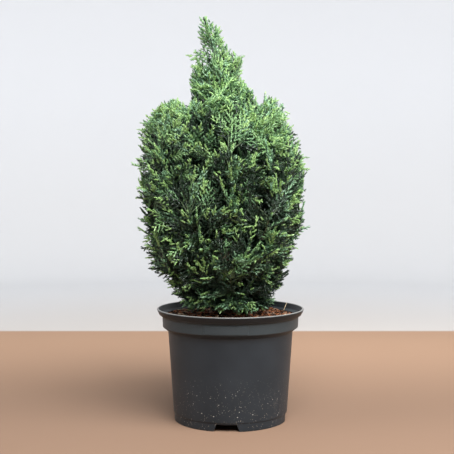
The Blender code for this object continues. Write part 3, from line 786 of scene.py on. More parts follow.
def scatter_on_mix(count, lengths, chance):
    """Places on the bed, even over its area, each half sunk by its thickness."""
    radius = (mix_radius(MIX_EDGE) - 0.0045) * np.sqrt(chance.uniform(0.02, 1, count))
    turn = chance.uniform(0, 2 * math.pi, count)
    x, y = radius * np.cos(turn), radius * np.sin(turn)
    return np.stack([x, y, mix_height(x, y) + 0.08 * lengths], 1)


CHIP_KINDS = (
    ("mix_chips_dark", 900, (0.016, 0.008, 0.005), (0.050, 0.024, 0.014)),
    ("mix_chips_red", 850, (0.130, 0.046, 0.020), (0.330, 0.120, 0.052)),
    ("mix_chips_tan", 320, (0.200, 0.115, 0.072), (0.400, 0.270, 0.190)),
)
for number, (name, count, dark, light) in enumerate(CHIP_KINDS):
    chance = np.random.default_rng(20 + number)
    lengths = chance.uniform(0.0022, 0.0072, count)
    boxes = crooked_boxes(scatter_on_mix(count, lengths, chance), lengths, chance)
    mesh = new_mesh(name, *boxes, smooth=False)
    add_piece(name, mesh, earth_finish(name, dark, light, 320.0), "potting_mix", ["potting_mix"])

# %% Straws
STRAWS = 26
LEANING_STRAW = ((0.0850, 0.0400, 0.1625), (0.0920, 0.0580, 0.1745))
chance = np.random.default_rng(31)
straw_length = chance.uniform(0.008, 0.020, STRAWS)
straw_foot = scatter_on_mix(STRAWS, full(STRAWS, 0.006), chance)
straw_turn = chance.uniform(0, 2 * math.pi, STRAWS)
straw_way = level(straw_turn) * straw_length[:, None]
straw_start = straw_foot * [0.9, 0.9, 1.0] - straw_way / 2
straw_end = straw_start + straw_way
for straw_point, rise in ((straw_start, 0.0012), (straw_end, 0.0020)):
    straw_point[:, 2] = mix_height(straw_point[:, 0], straw_point[:, 1]) + rise
straw_start[0], straw_end[0] = LEANING_STRAW
straw_bend = (straw_start + straw_end) / 2 + [0.0, 0.0, 0.0012]
straw_rods = with_taper((straw_start, straw_bend, straw_end), 0.0007, 0.0004)
straws = new_mesh("mix_straws", *lay(tube_template([0.0, 0.35, 0.7], 5), *straw_rods))
straw_finish = earth_finish("mix_straw_pale", (0.330, 0.250, 0.150), (0.560, 0.470, 0.320), 200.0)
add_piece("mix_straws", straws, straw_finish, "potting_mix", ["potting_mix"])

# %% [markdown]
# The trunk and the boughs come from the same named sizes as the solids: the trunk tapers and leans to the
# left near its tip, and rings of boughs leave it and turn up. The crown's outline says how far any twig
# may reach to each side at each height, and two valleys in it part the neck from the shoulders. These
# rules are the frame's own, written here again.

# %% The plant's rules
TRUNK_FOOT = MIX_CROWN + GAP
TRUNK_TIP = 0.548
TRUNK_RADIUS = 0.0085
TRUNK_TIP_RADIUS = 0.0013
ROOT_FLARE = 0.0045
CROWN_TOP = 0.622
LEADER_LEAN = 0.043
CROWN_REACH = np.array([
    # height, left, right
    (0.165, 0.062, 0.055), (0.185, 0.079, 0.068), (0.206, 0.094, 0.080), (0.219, 0.105, 0.086),
    (0.232, 0.125, 0.091), (0.245, 0.130, 0.096), (0.290, 0.132, 0.111), (0.317, 0.140, 0.118),
    (0.350, 0.142, 0.121), (0.395, 0.140, 0.122), (0.431, 0.132, 0.105), (0.463, 0.123, 0.098),
    (0.488, 0.092, 0.084), (0.497, 0.058, 0.080), (0.501, 0.053, 0.078), (0.507, 0.056, 0.045),
    (0.525, 0.049, 0.034), (0.537, 0.039, 0.040), (0.549, 0.029, 0.039), (0.560, 0.042, 0.041),
    (0.573, 0.013, 0.020), (0.586, 0.018, 0.024), (0.598, 0.015, 0.024), (0.610, 0.011, 0.014),
    (CROWN_TOP, 0.004, 0.004),
])
RINGS = (
    # count, first angle, height at the trunk, foot's distance and height, tip's height and share,
    # how much lower the tips stand in front and behind, size of the sprays, thickness of the bough
    (5, 54, 0.178, 0.030, 0.189, 0.222, 0.86, 0.0, 0.75, 1.0),
    (6, 0, 0.204, 0.038, 0.232, 0.318, 0.90, 0.0, 1.0, 1.0),
    (6, 30, 0.236, 0.038, 0.280, 0.408, 0.86, 0.0, 1.0, 1.0),
    (6, 0, 0.282, 0.034, 0.348, 0.480, 0.82, 0.008, 0.9, 1.0),
    (4, 0, 0.396, 0.016, 0.426, 0.554, 0.66, 0.0, 0.6, 0.62),
)
VALLEY_SIDE = 0.0545
VALLEY_BOTTOM = 0.474
VALLEY_SLOPE = 0.38
VALLEY_HALF = 0.006
BOUGH_RADIUS = 0.0031
BOUGH_TIP_RADIUS = 0.0017
STEM_TIP_RADIUS = 0.0008
TWIG_RADIUS, TWIG_TIP_RADIUS = 0.0011, 0.0005


def trunk_middle(z):
    """Centre of the trunk at heights: upright below, it leans left by the fourth power of the height."""
    share = np.clip((z - TRUNK_FOOT) / (CROWN_TOP - TRUNK_FOOT), 0, None)
    return np.stack([-LEADER_LEAN * share**4, 0 * share, z + 0 * share], -1)


def trunk_radius(z):
    """Radius of the trunk: a taper that is quicker at first, with a flare that dies out above the roots."""
    share = np.clip((z - TRUNK_FOOT) / (TRUNK_TIP - TRUNK_FOOT), 0, 1)
    flare = ROOT_FLARE * np.exp((TRUNK_FOOT - z) / 0.012)
    return TRUNK_RADIUS + (TRUNK_TIP_RADIUS - TRUNK_RADIUS) * share**0.8 + flare


def reach(direction, z):
    """How far the crown reaches from its leaning axis: half an ellipse to each side at every height."""
    left, right = (np.interp(z, CROWN_REACH[:, 0], CROWN_REACH[:, k]) for k in (1, 2))
    side = np.where(direction[..., 0] > 0, right, left)
    return 1 / np.hypot(direction[..., 0] / side, direction[..., 1] / ((left + right) / 2))


def outwardness(points):
    """Distance from the leaning axis as a share of the crown's reach: 0 at the trunk, 1 at the outline."""
    flat = points[..., :2] - trunk_middle(points[..., 2])[..., :2]
    distance = np.linalg.norm(flat, axis=-1)
    return distance / reach(flat / np.maximum(distance, 1e-9)[..., None], points[..., 2])


def in_valley(points):
    """Whether points lie in the two gaps that part the neck from the shoulders left and right of it: upright
    clefts, pointed at the bottom."""
    side = np.abs(points[..., 0] - trunk_middle(points[..., 2])[..., 0])
    half = np.minimum((points[..., 2] - VALLEY_BOTTOM) * VALLEY_SLOPE, VALLEY_HALF)
    return np.abs(side - VALLEY_SIDE) < half


def inside_crown(points, slack):
    """Whether points lie in the outline, under the top, and clear of the mix, the lip and the valleys."""
    z = points[..., 2]
    distance = np.linalg.norm(points[..., :2], axis=-1)
    clear = (z > MIX_CROWN + 0.003) & ((z > POT_HEIGHT + 0.006) | (distance < LIP_RADIUS - 0.012))
    return (outwardness(points) <= slack) & (z <= CROWN_TOP) & clear & ~in_valley(points)


def plan_plumes():
    """Start, control and end of every bough and of the stem that goes on from it, ring by ring."""
    rows = []
    for count, first, start_z, foot_r, foot_z, tip_z, share, dip, size, slim in RINGS:
        for i in range(count):
            turn = math.radians(first + 360 * i / count)
            out = np.array([math.cos(turn), math.sin(turn), 0.0])
            start = trunk_middle(start_z + 0.006 * (i % 2 - 0.5) * 2)
            foot = trunk_middle(foot_z) + out * foot_r
            height = tip_z + 0.004 * math.cos(1.9 * i) - dip * abs(out[1])
            tip = trunk_middle(height) + out * reach(out, height) * share
            bend = foot - (tip - foot) * 0.30
            heading = unit(foot - curve(start, bend, foot, 0.75))
            length = np.linalg.norm(tip - foot)
            control = foot + heading * length / 2 + out * length * 0.10
            rows.append((start, bend, foot, control, tip, out, size, slim))
    return [np.array(column) for column in zip(*rows)]


bough_start, bough_bend, stem_start, stem_control, stem_end, plume_out, plume_size, bough_slim = plan_plumes()
print("boughs:", len(bough_start))

# %% [markdown]
# Young cypress bark is thin, red brown and stringy: shallow furrows run up it and wander. The relief is
# the distance to the nearest furrow of a noise that is drawn out along the limb, pressed into the radius
# of a fine grid, so that it is real geometry. The boughs carry the same relief, smaller.

# %% Trunk and boughs
def limb_points(line, radii, columns, furrows, seed):
    """Rings round a line of points, lowered in wandering furrows along the limb. The first and the last
    point come twice, the second time with no radius, so that the limb closes there."""
    line, radii = np.vstack([line[:1], line, line[-1:]]), np.pad(radii, 1)
    turn = np.linspace(0, 2 * math.pi, columns, endpoint=False)
    heading = unit(np.gradient(line, axis=0))
    u = unit(np.cross([[0.0, 1.0, 0.0]], heading))
    v = np.cross(heading, u)
    along = np.concatenate([[0.0], np.cumsum(np.linalg.norm(np.diff(line, axis=0), axis=1))])[:, None]
    around = turn[None] / (2 * math.pi) * furrows
    ridge = np.abs(noise(around + 0 * along, along / 0.022 + seed, furrows))
    flake = noise(2 * around + 0 * along, along / 0.006 + seed + 17, 2 * furrows)
    radius = radii[:, None] * (0.93 + 0.16 * ridge + 0.035 * flake)
    to_u, to_v = (radius * np.cos(turn))[..., None], (radius * np.sin(turn))[..., None]
    return line[:, None] + u[:, None] * to_u + v[:, None] * to_v


def all_limbs():
    """The trunk and the boughs as one mesh of several grids."""
    heights = np.linspace(TRUNK_FOOT - 0.002, TRUNK_TIP, 170)
    grids = [limb_points(trunk_middle(heights), trunk_radius(heights), 36, 11, 0)]
    t = np.linspace(0, 1, 26)
    for number, (start, bend, foot, slim) in enumerate(zip(bough_start, bough_bend, stem_start, bough_slim)):
        radii = BOUGH_TIP_RADIUS + (BOUGH_RADIUS * slim - BOUGH_TIP_RADIUS) * (1 - t) ** 1.4
        grids.append(limb_points(curve(start, bend, foot, t[:, None]), radii, 14, 6, number * 3.1))
    parts = [(grid.reshape(-1, 3), grid_faces(*grid.shape[:2])) for grid in grids]
    return merge_points(new_mesh("bark_limbs", *joined(parts)))


BARK_COLOURS = (0.045, 0.026, 0.018), (0.190, 0.115, 0.078)
BARK_RELIEF = 0.6, 0.0008, 900.0, 6.0
bark = patchy_finish("bark_red_brown", (0.85, 0.3), BARK_COLOURS, (150.0, 0.35, 0.65), BARK_RELIEF)
add_piece("bark_limbs", all_limbs(), bark, "bark", LIMB_NODES)

# %% [markdown]
# Each bough ends in a plume: its stem goes on upwards and carries twigs at golden angles, mostly on the
# outer side. The frame's own rule gives a plume four twigs. Here the same rule runs on to many more, and
# every twig goes as far as its plume's own room and the crown's outline allow. Room is found for all at once:
# points are tried along each heading, and the last one of an unbroken run inside the room sets the length.
# More twigs fill the heart, and where the crown's surface is still bare, a twig grows to it from the limb
# below.

# %% Stems and twigs
GOLDEN_ANGLE = math.radians(137.5)
OUTER_SHARE = 0.58
TWIG_REACH = 0.084
TWIG_SPACING = 0.0080
TWIG_SHORTEST = 0.008
ROOM_USED = 0.86
TWIG_OPEN, TWIG_CLOSE = math.radians(62), math.radians(28)
ROOM_OVERLAP = 0.022
PLUME_WIDTH = 0.084
PLUME_TAPER = 0.90
FREE = -1
LEADER = len(stem_start)
ROOM_STEPS = 12
chance = np.random.default_rng(1905)

# The leader's stem goes on from the trunk's tip and leans with it
leader_foot, leader_tip = trunk_middle(TRUNK_TIP), trunk_middle(CROWN_TOP - 0.010)
stem_start = np.vstack([stem_start, leader_foot])
stem_control = np.vstack([stem_control, (leader_foot + leader_tip) / 2 + [0.002, 0.0, 0.0]])
stem_end = np.vstack([stem_end, leader_tip])
plume_out = np.vstack([plume_out, [-1.0, 0.0, 0.0]])
plume_size = np.append(plume_size, 0.5)
stem_line = (points[:, None] for points in (stem_start, stem_control, stem_end))
stem_samples = curve(*stem_line, np.linspace(0, 1, 9)[:, None])


def in_plume(points, owners):
    """Whether points lie in their own plume: near enough to its stem, which narrows to its tip, and not
    much farther from it than from any other stem. Stems are taken as nine points each."""
    flat = stem_samples.reshape(-1, 3)
    square = (points**2).sum(-1)[:, None] + (flat**2).sum(-1)[None] - 2 * points @ flat.T
    distance = np.sqrt(np.maximum(square, 0)).reshape(len(points), len(stem_samples), -1)
    row = np.arange(len(points))
    own_samples = distance[row, owners]
    own, t = own_samples.min(-1), own_samples.argmin(-1) / (own_samples.shape[1] - 1)
    nearest = distance.min(-1)
    nearest[row, owners] = np.inf
    width = PLUME_WIDTH * plume_size[owners] * (1 - PLUME_TAPER * t**2.4) + 0.004
    return (own < width) & (own - nearest.min(-1) < ROOM_OVERLAP)


def room(starts, headings, lengths, owners, slack=1.0):
    """The share of each length that stays in the crown and in the owner's plume, without a break. A free
    one, from a bough or the trunk, has only the crown to keep to."""
    tried = np.linspace(1 / ROOM_STEPS, 1, ROOM_STEPS)
    points = starts[:, None] + headings[:, None] * (lengths[:, None] * tried)[..., None]
    good = inside_crown(points, slack)
    owner = np.repeat(owners, ROOM_STEPS)
    good &= (in_plume(points.reshape(-1, 3), np.maximum(owner, 0)) | (owner == FREE)).reshape(good.shape)
    return np.logical_and.accumulate(good, axis=1).sum(axis=1) / ROOM_STEPS


def stem_at(plume, t):
    """Place and heading on stems at shares of their length."""
    line = stem_start[plume], stem_control[plume], stem_end[plume]
    return curve(*line, t[:, None]), curve_way(*line, t[:, None])


def stacked(*tables):
    """Tables of the same columns, joined end to end."""
    return [np.concatenate(parts) for parts in zip(*tables)]


def free_twigs(place, direction, reached, share):
    """Twigs that have only the crown to keep to: no plume, place, direction, normal and length."""
    owner = np.full(len(place), FREE)
    length = reached * room(place, direction, reached, owner) * share
    return owner, place, direction, unit(np.cross(direction, UP)), length


def numbered(counts):
    """For groups of given sizes: each member's group, and its number in the group."""
    return np.repeat(np.arange(len(counts)), counts), np.concatenate([np.arange(c) for c in counts])


def plan_twigs():
    """Twigs of all plumes: golden angles round the stem, wide at its foot and close at its tip."""
    spacing = TWIG_SPACING * np.interp(plume_size, [0.5, 1.0], [0.78, 1.0])
    counts = np.maximum(6, np.round(np.linalg.norm(stem_end - stem_start, axis=1) / spacing)).astype(int)
    plume, number = numbered(counts)
    t = 0.03 + 0.95 * (number + 0.5) / counts[plume]
    place, heading = stem_at(plume, t)
    wrapped = (number * GOLDEN_ANGLE + plume * 1.3 + math.pi) % (2 * math.pi) - math.pi
    turn = wrapped * np.where(plume == LEADER, 1.0, OUTER_SHARE)
    radial = turned(squared(plume_out[plume], heading), heading, turn)
    tilt = TWIG_OPEN + (TWIG_CLOSE - TWIG_OPEN) * t + chance.normal(0, 0.10, len(t))
    tilt = np.where(number == counts[plume] - 1, 0.0, tilt)
    direction = tipped(heading, radial, tilt)
    length = TWIG_REACH * room(place, direction, full(len(t), TWIG_REACH), plume) * ROOM_USED
    return plume, place, direction, np.cross(heading, radial), length


BOUGH_TWIGS, BOUGH_TWIG_REACH = 3, 0.075
TRUNK_TWIGS = 90


def plan_inner_twigs():
    """Twigs that fill the heart: some on the outer part of every bough, and golden angles up the trunk."""
    bough, number = numbered([BOUGH_TWIGS] * LEADER)
    t = (0.35 + 0.65 * (number + 0.5) / BOUGH_TWIGS)[:, None]
    place = curve(bough_start[bough], bough_bend[bough], stem_start[bough], t)
    out = plume_out[bough]
    aside = np.where(number % 2, 1.0, -1.0) * chance.uniform(0.2, 1.5, len(bough))
    rise = chance.uniform(-0.15, 0.55, len(bough))
    direction = unit(out + np.cross(UP, out) * aside[:, None] + UP * rise[:, None])
    up_trunk = (np.arange(TRUNK_TWIGS) / TRUNK_TWIGS) ** 1.3
    height = TRUNK_FOOT + 0.006 + (TRUNK_TIP - 0.03 - TRUNK_FOOT) * up_trunk
    flat = level(np.arange(TRUNK_TWIGS) * GOLDEN_ANGLE)
    rise = np.interp(height, [0.17, 0.20, 0.26, 0.5], [0.02, 0.15, 0.5, 1.0])
    place = np.vstack([place, trunk_middle(height)])
    direction = np.vstack([direction, unit(flat + UP * rise[:, None])])
    from_trunk = np.interp(height, [0.17, 0.25, 0.5], [0.085, 0.075, 0.03])
    reached = np.concatenate([full(len(bough), BOUGH_TWIG_REACH), from_trunk])
    return free_twigs(place, direction, reached, ROOM_USED)


COVER_POINTS = 760
COVER_FOOT, COVER_TOP = 0.185, 0.490
COVER_SHARE = 0.86
COVER_GAP = 0.0165
COVER_RISE = 0.012
COVER_LONGEST = 0.085
COVER_USED = 0.9
OUTER_ENDS = 0.62


def plan_cover_twigs(ends):
    """Twigs for bare places. Points stand at golden angles just inside the outline, evenly over its area.
    Where none of the given twigs' ends is near, a point draws a twig from the nearest stem below it."""
    height = np.linspace(COVER_FOOT, COVER_TOP, 200)
    area = np.cumsum(np.interp(height, CROWN_REACH[:, 0], CROWN_REACH[:, 1] + CROWN_REACH[:, 2]))
    z = np.interp((np.arange(COVER_POINTS) + 0.5) / COVER_POINTS, area / area[-1], height)
    flat = level(np.arange(COVER_POINTS) * GOLDEN_ANGLE)
    target = trunk_middle(z) + flat * reach(flat, z)[:, None] * COVER_SHARE
    bare = np.linalg.norm(target[:, None] - ends[None], axis=2).min(axis=1) > COVER_GAP
    target = target[bare]
    places = stem_samples.reshape(-1, 3)
    away = np.linalg.norm(target[:, None] - places[None], axis=2)
    away = np.where(places[None, :, 2] > target[:, None, 2] - COVER_RISE, np.inf, away)
    near = away.min(axis=1) < COVER_LONGEST
    target, away = target[near], away[near]
    place = places[away.argmin(axis=1)]
    return free_twigs(place, unit(target - place), away.min(axis=1), COVER_USED)


grown, inner = plan_twigs(), plan_inner_twigs()
grown_ends = grown[1] + grown[2] * grown[4][:, None]
cover = plan_cover_twigs(grown_ends[outwardness(grown_ends) > OUTER_ENDS])
print("twigs for bare places:", len(cover[0]))
twig_columns = stacked(grown, inner, cover)
keep = twig_columns[-1] > TWIG_SHORTEST
twig_plume, twig_start, twig_heading, twig_normal, twig_length = (column[keep] for column in twig_columns)
twig_end = twig_start + unit(twig_heading + UP * 0.12) * twig_length[:, None]
twig_control = twig_start + twig_heading * twig_length[:, None] * 0.5
print("twigs:", len(twig_length), "mean length", round(float(twig_length.mean()), 4))

# %% [markdown]
# A twig carries six fern-like sprays: one at its end and others alternately left and right. The leader
# has some of its own, and low ones droop on the mix. Each spray is flat, and its plane is rolled by chance.
# Its length is the room that it finds. Sprays that find less than a centimetre aren't grown.

# %% Sprays
SPRAY_LENGTH = 0.066
SPRAY_SPREAD = math.radians(42)
SPRAY_ROLL = math.radians(85)
SPRAY_PLACES = ((0.60, 0), (0.22, 1), (0.36, -1), (0.52, 1), (0.68, -1), (0.84, 1))
SPRAY_SHORTEST = 0.010
LEADER_SPRAYS = 10
SKIRT_SPRAYS = 46
SKIRT_TURNS = math.radians(-168), math.radians(-12)
# Distance from the axis and height
SKIRT_ROOTS = (0.022, 0.046), (0.184, 0.204)
SKIRT_TIPS = (0.056, 0.074), (0.169, 0.180)


def plan_leader_sprays():
    """Sprays straight on the leader's stem, at golden angles, closer to it and shorter towards the tip."""
    number = np.arange(LEADER_SPRAYS)
    t = (number + 1.0) / LEADER_SPRAYS
    root, axis = stem_at(np.full(LEADER_SPRAYS, LEADER), t)
    side, other = across(axis, number * GOLDEN_ANGLE)
    tilt = np.where(t < 1, 0.66 - 0.36 * t, 0.0)
    plume = np.full(LEADER_SPRAYS, FREE)
    return root, tipped(axis, side, tilt), other, 0.056 - 0.034 * t, plume, full(LEADER_SPRAYS, 1)


def plan_sprays():
    """Sprays on all twigs and on the leader: root, heading, normal of the plane and length."""
    tables, line = [], (twig_start, twig_control, twig_end)
    roll = chance.uniform(-1.0, 1.0, len(twig_length)) * SPRAY_ROLL
    twig_slack = chance.uniform(0.82, 1.06, len(twig_length))
    for place, hand in SPRAY_PLACES:
        t = full(len(twig_length), place)[:, None]
        axis = curve_way(*line, t)
        normal = turned(squared(twig_normal, axis), axis, roll)
        spread = SPRAY_SPREAD * hand * chance.uniform(0.8, 1.2, len(roll))
        heading = turned(axis, normal, spread)
        normal = turned(normal, heading, chance.normal(0, 0.35, len(roll)))
        size = np.where(twig_plume == FREE, 0.85, plume_size[twig_plume])
        length = SPRAY_LENGTH * size * chance.uniform(0.72, 1.18, len(roll))
        if hand:
            length = length * (1.05 - 0.35 * place)
        slack = twig_slack + chance.uniform(-0.03, 0.03, len(roll))
        tables.append((curve(*line, t), heading, normal, length, twig_plume, slack))
    root, heading, normal, length, plume, slack = stacked(*tables, plan_leader_sprays())
    length = length * room(root, heading, length, plume, slack[:, None])
    good = length > SPRAY_SHORTEST
    return root[good], heading[good], normal[good], length[good]


def plan_skirt_sprays():
    """Low sprays on the viewer's side that droop from the lowest boughs and lie on the mix."""
    dice = np.random.default_rng(31)
    flat = level(dice.uniform(*SKIRT_TURNS, SKIRT_SPRAYS))
    root, tip = (
        flat * dice.uniform(*distance, (SKIRT_SPRAYS, 1)) + UP * dice.uniform(*height, (SKIRT_SPRAYS, 1))
        for distance, height in (SKIRT_ROOTS, SKIRT_TIPS)
    )
    length = np.linalg.norm(tip - root, axis=1)
    heading = (tip - root) / length[:, None]
    normal = turned(unit(UP - heading * heading[:, 2:]), heading, dice.normal(0, 0.7, SKIRT_SPRAYS))
    return root, heading, normal, length


spray_root, spray_heading, spray_normal, spray_length = stacked(plan_sprays(), plan_skirt_sprays())
spray_tip = spray_root + unit(spray_heading + UP * 0.16) * spray_length[:, None]
spray_control = (spray_root + spray_tip) / 2 - UP * 0.04 * spray_length[:, None]
spray_out = outwardness(spray_tip)
print("sprays:", len(spray_length), "mean length", round(float(spray_length.mean()), 4))

# %% [markdown]
# Along a spray stand the shoots, the thin green cords that give the plant its look. They leave the axis
# at about 45 degrees, alternately left and right, curve forward, and are longest a third of the way up.
# Long shoots fork into short ones near their ends. Three shapes repeat many thousand times: a leafy shoot,
# a plainer one for the inside and a short one for the forks. Each has a few dozen faces at most: a
# three-sided cord with pairs of folded, keeled leaves.

# %% Shoots
SHOOT_SPACING = 0.0052
SHOOT_LONGEST = 0.0170
SHOOT_RADIUS = 0.00098
SHOOT_TAPER = 0.62
SHOOT_OPEN, SHOOT_CLOSE = math.radians(50), math.radians(34)
LONG_SHOOT = with_leaves(tube_template([0.0, 0.5], 3), [0.12, 0.32, 0.52, 0.72], 0.28, 1.85)
INNER_SHOOT = with_leaves(tube_template([0.0, 0.5], 3), [0.2, 0.6], 0.36, 1.95)
SHORT_SHOOT = with_leaves(tube_template([0.0, 0.5], 3), [0.40], 0.50, 1.95)


def plan_shoots():
    """Shoots on all sprays: the spray and the share of it where each stands, then its curve and length."""
    counts = np.maximum(3, np.round(spray_length / SHOOT_SPACING)).astype(int)
    spray, number = numbered(counts)
    t = 0.08 + 0.90 * (number + 0.5) / counts[spray]
    line = spray_root[spray], spray_control[spray], spray_tip[spray]
    place, axis = curve(*line, t[:, None]), curve_way(*line, t[:, None])
    normal = squared(spray_normal[spray], axis)
    hand = np.where((number + spray) % 2 == 0, 1.0, -1.0)
    opened = (SHOOT_OPEN + (SHOOT_CLOSE - SHOOT_OPEN) * t + chance.normal(0, 0.06, len(t))) * hand
    heading = unit(turned(axis, normal, opened) + normal * chance.normal(0, 0.11, len(t))[:, None])
    profile = np.sin(np.pi * (0.16 + 0.84 * t) ** 0.75) ** 0.6
    longest = np.minimum(SHOOT_LONGEST, 0.60 * spray_length[spray])
    length = longest * np.maximum(profile, 0.30) * chance.uniform(0.8, 1.15, len(t))
    return spray, t, *bent(place, heading, unit(heading + axis * 0.55 + UP * 0.10), length), length


def plan_tips():
    """One more shoot at the end of every spray, straight on from it, in the same columns."""
    count = len(spray_length)
    ahead = unit(spray_tip - spray_control)
    length = np.clip(spray_length * 0.4, 0.008, 0.018)
    line = (spray_tip + ahead * share * length[:, None] for share in (-0.3, 0.2, 0.7))
    return np.arange(count), np.ones(count), *line, length


shoot_columns = stacked(plan_shoots(), plan_tips())
ends = shoot_columns[4]
good = inside_crown(ends, np.interp(ends[:, 2], [0.505, 0.54, 0.59], [1.10, 1.26, 1.60]))
shoot_spray, shoot_place, *shoot_line, shoot_length = (column[good] for column in shoot_columns)
print("shoots:", len(shoot_length), "mean length", round(float(shoot_length.mean()), 4))


FORK_PLACES = ((0.42, 1.0), (0.66, -1.0))
FORKED_LENGTH, FORKED_OUT = 0.0150, 0.80


def plan_forks():
    """Short shoots near the ends of the longer ones, left and right in turn: parent and curve."""
    tables = []
    parent = np.flatnonzero((shoot_length > FORKED_LENGTH) & (spray_out[shoot_spray] > FORKED_OUT))
    line = [points[parent] for points in shoot_line]
    for t, hand in FORK_PLACES:
        place, axis = curve(*line, t), curve_way(*line, t)
        normal = squared(spray_normal[shoot_spray[parent]], axis)
        flip = np.where(chance.uniform(size=len(parent)) < 0.5, hand, -hand)
        heading = turned(axis, normal, flip * chance.uniform(0.55, 0.95, len(parent)))
        heading = unit(heading + normal * chance.normal(0, 0.3, len(parent))[:, None])
        length = shoot_length[parent] * chance.uniform(0.30, 0.48, len(parent))
        tables.append((parent, *bent(place, heading, unit(heading + axis * 0.5), length)))
    return stacked(*tables)


fork_parent, *fork_line = plan_forks()
print("forks:", len(fork_parent))

# %% [markdown]
# The greens have a place: blue green in the shade and low down, clear green outside, yellow green on the
# newest tips and towards the top, and a few dead brown shoots in the heart. Each spray is dealt one kind
# by chance, with odds from how far out and how high it stands, and each kind is a piece of its own with
# one plain finish. The sprays of the heart are painted near black, as painted shade inside the crown, and
# this painted shade begins nearer to the surface low down than near the top. Clear and yellow green are
# dealt more often high up, partly as young growth and partly as painted light on the lit top. The newest
# growth is at the ends of many outer sprays, and the leader is calmer than the neck below it.

# %% Deal out the colours
KINDS = ("painted_shade", "blue", "mature", "fresh", "brown")
BROWN = KINDS.index("brown")
DEAD_PLACE = (-0.006, -0.075, 0.262)
DEAD_RADIUS, DEAD_SHARE = 0.020, 0.25
INNER_BELOW, NEW_FROM = 0.66, 0.66
spray_middle = (spray_root + spray_tip) / 2
spray_height = np.clip((spray_middle[:, 2] - 0.17) / (CROWN_TOP - 0.17), 0, 1)


def deal_kinds():
    """A kind for each spray. Odds are rows of numbers that are raised by height or by outwardness."""
    # the heart's edge at each height: sprays inside it are painted near black as painted shade
    heart = np.interp(spray_height, [0.0, 0.25, 0.50, 0.66, 0.8], [0.88, 0.89, 0.86, 0.73, 0.55])
    outer = np.clip((spray_out - heart) / 0.24, 0, 1)
    odds = np.stack([
        # painted shade: sprays of the heart get the near-black kind, more of them low down
        0.04 + 4.8 * (1 - outer) ** 1.2 * (1 - 0.88 * spray_height),
        0.30 + 1.3 * (1 - spray_height) * outer,
        0.45 + 0.7 * outer,
        # partly painted light: clear green is dealt more often high up, where the crown's top is lit
        0.05 + 3.4 * outer * spray_height**1.3 * np.interp(spray_height, [0.76, 0.86], [1.0, 0.40]),
        0.20 * np.clip(0.50 - spray_out, 0, 1) * (spray_height < 0.4),
    ], axis=1)
    edges = np.cumsum(odds / odds.sum(1, keepdims=True), axis=1)
    return (chance.uniform(size=len(odds))[:, None] > edges).sum(1).clip(0, len(KINDS) - 1)


chance = np.random.default_rng(17)
spray_kind = deal_kinds()
in_dead_spot = np.linalg.norm((spray_middle - DEAD_PLACE) * [1.0, 0.6, 1.0], axis=1) < DEAD_RADIUS
spray_kind = np.where(in_dead_spot & (chance.uniform(size=len(spray_kind)) < DEAD_SHARE), BROWN, spray_kind)
# partly painted light: yellow-green new tips are dealt more often high up, where the crown is lit
new_odds = np.clip((spray_out - 0.60) / 0.35, 0, 1) * (0.36 + 0.54 * spray_height)
spray_new = (chance.uniform(size=len(new_odds)) < new_odds) & (spray_kind != BROWN)
print("sprays of each kind:", dict(zip(KINDS, np.bincount(spray_kind))), "new", int(spray_new.sum()))


def leaf_finish(name, dark, light, roughness=0.40):
    """A leafy green: patches between two near colours at the scale of a few leaves, and a faint relief."""
    return patchy_finish(name, (roughness, 0.6), (dark, light), (210.0, 0.42, 0.58), (0.3, 0.0003, 1500.0))


FINISHES = {
    # painted shade: near-black leaves for the crown's heart
    "painted_shade": leaf_finish("leaf_painted_shade", (0.009, 0.023, 0.012), (0.026, 0.056, 0.030)),
    "blue": leaf_finish("leaf_blue_green", (0.040, 0.100, 0.051), (0.278, 0.490, 0.292)),
    "mature": leaf_finish("leaf_mature", (0.066, 0.152, 0.066), (0.205, 0.380, 0.180)),
    "fresh": leaf_finish("leaf_fresh", (0.120, 0.250, 0.092), (0.255, 0.440, 0.190)),
    "new": leaf_finish("leaf_new_tip", (0.205, 0.375, 0.115), (0.330, 0.515, 0.200)),
    "brown": leaf_finish("leaf_brown", (0.045, 0.030, 0.020), (0.110, 0.080, 0.052), 0.8),
}
young_bark = leaf_finish("bark_young_olive", (0.030, 0.026, 0.014), (0.085, 0.075, 0.040), 0.7)
green_twig = leaf_finish("twig_green", (0.035, 0.060, 0.026), (0.090, 0.140, 0.062), 0.6)

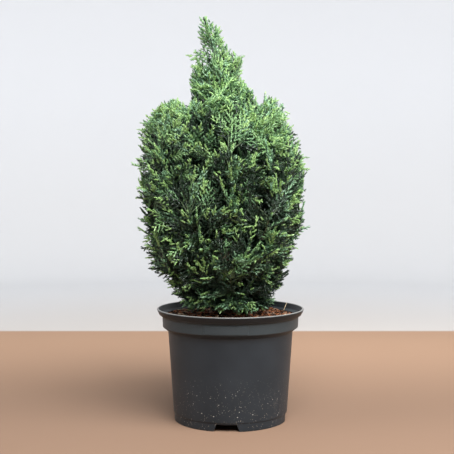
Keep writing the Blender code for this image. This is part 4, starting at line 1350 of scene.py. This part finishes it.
# %% Grow the pieces
MOST_FACES = 190000
AXIS_ROD = tube_template([0.0, 0.5], 3)
AXIS_RADIUS = 0.00085
TWIG_ROD = tube_template([0.0, 0.3, 0.65], 4)
STEM_ROD = tube_template(list(np.linspace(0, 0.94, 12)), 6)


def add_kind(name, rods, material, slot):
    """Lays rods of one kind and splits them into pieces under the limit of faces."""
    total = sum(len(columns[0]) * len(template[1]) for template, columns in rods)
    pieces = max(1, math.ceil(total / MOST_FACES))
    for number in range(pieces):
        parts = [lay(template, *(column[number::pieces] for column in columns)) for template, columns in rods]
        label = name if pieces == 1 else f"{name}_{number + 1}"
        add_piece(label, new_mesh(label, *joined(parts)), material, slot, MASS_NODES)


def picked(template, line, pick, radius=SHOOT_RADIUS):
    """A template and what it is laid along: the picked curves with a taper and a chance roll."""
    roll = chance.uniform(0, 6.28, int(pick.sum()))
    return template, with_taper([points[pick] for points in line], radius, radius * SHOOT_TAPER, roll)


shoot_inner = spray_out[shoot_spray] < INNER_BELOW
shoot_new = spray_new[shoot_spray] & (shoot_place > NEW_FROM)
fork_new = shoot_new[fork_parent]
for kind, label in enumerate(KINDS):
    of_kind = (spray_kind[shoot_spray] == kind) & ~shoot_new
    rods = [
        picked(AXIS_ROD, (spray_root, spray_control, spray_tip), spray_kind == kind, AXIS_RADIUS),
        picked(LONG_SHOOT, shoot_line, of_kind & ~shoot_inner),
        picked(INNER_SHOOT, shoot_line, of_kind & shoot_inner),
        picked(SHORT_SHOOT, fork_line, of_kind[fork_parent]),
    ]
    add_kind("shoots_" + label, rods, FINISHES[label], "foliage")
new_rods = [picked(LONG_SHOOT, shoot_line, shoot_new), picked(SHORT_SHOOT, fork_line, fork_new)]
add_kind("shoots_new", new_rods, FINISHES["new"], "foliage")

stem_rods = with_taper((stem_start, stem_control, stem_end), BOUGH_TIP_RADIUS, STEM_TIP_RADIUS)
add_kind("stems_olive", [(STEM_ROD, stem_rods)], young_bark, "bark")
twig_rods = with_taper((twig_start, twig_control, twig_end), TWIG_RADIUS, TWIG_TIP_RADIUS)
add_kind("twigs_green", [(TWIG_ROD, twig_rods)], green_twig, "foliage")


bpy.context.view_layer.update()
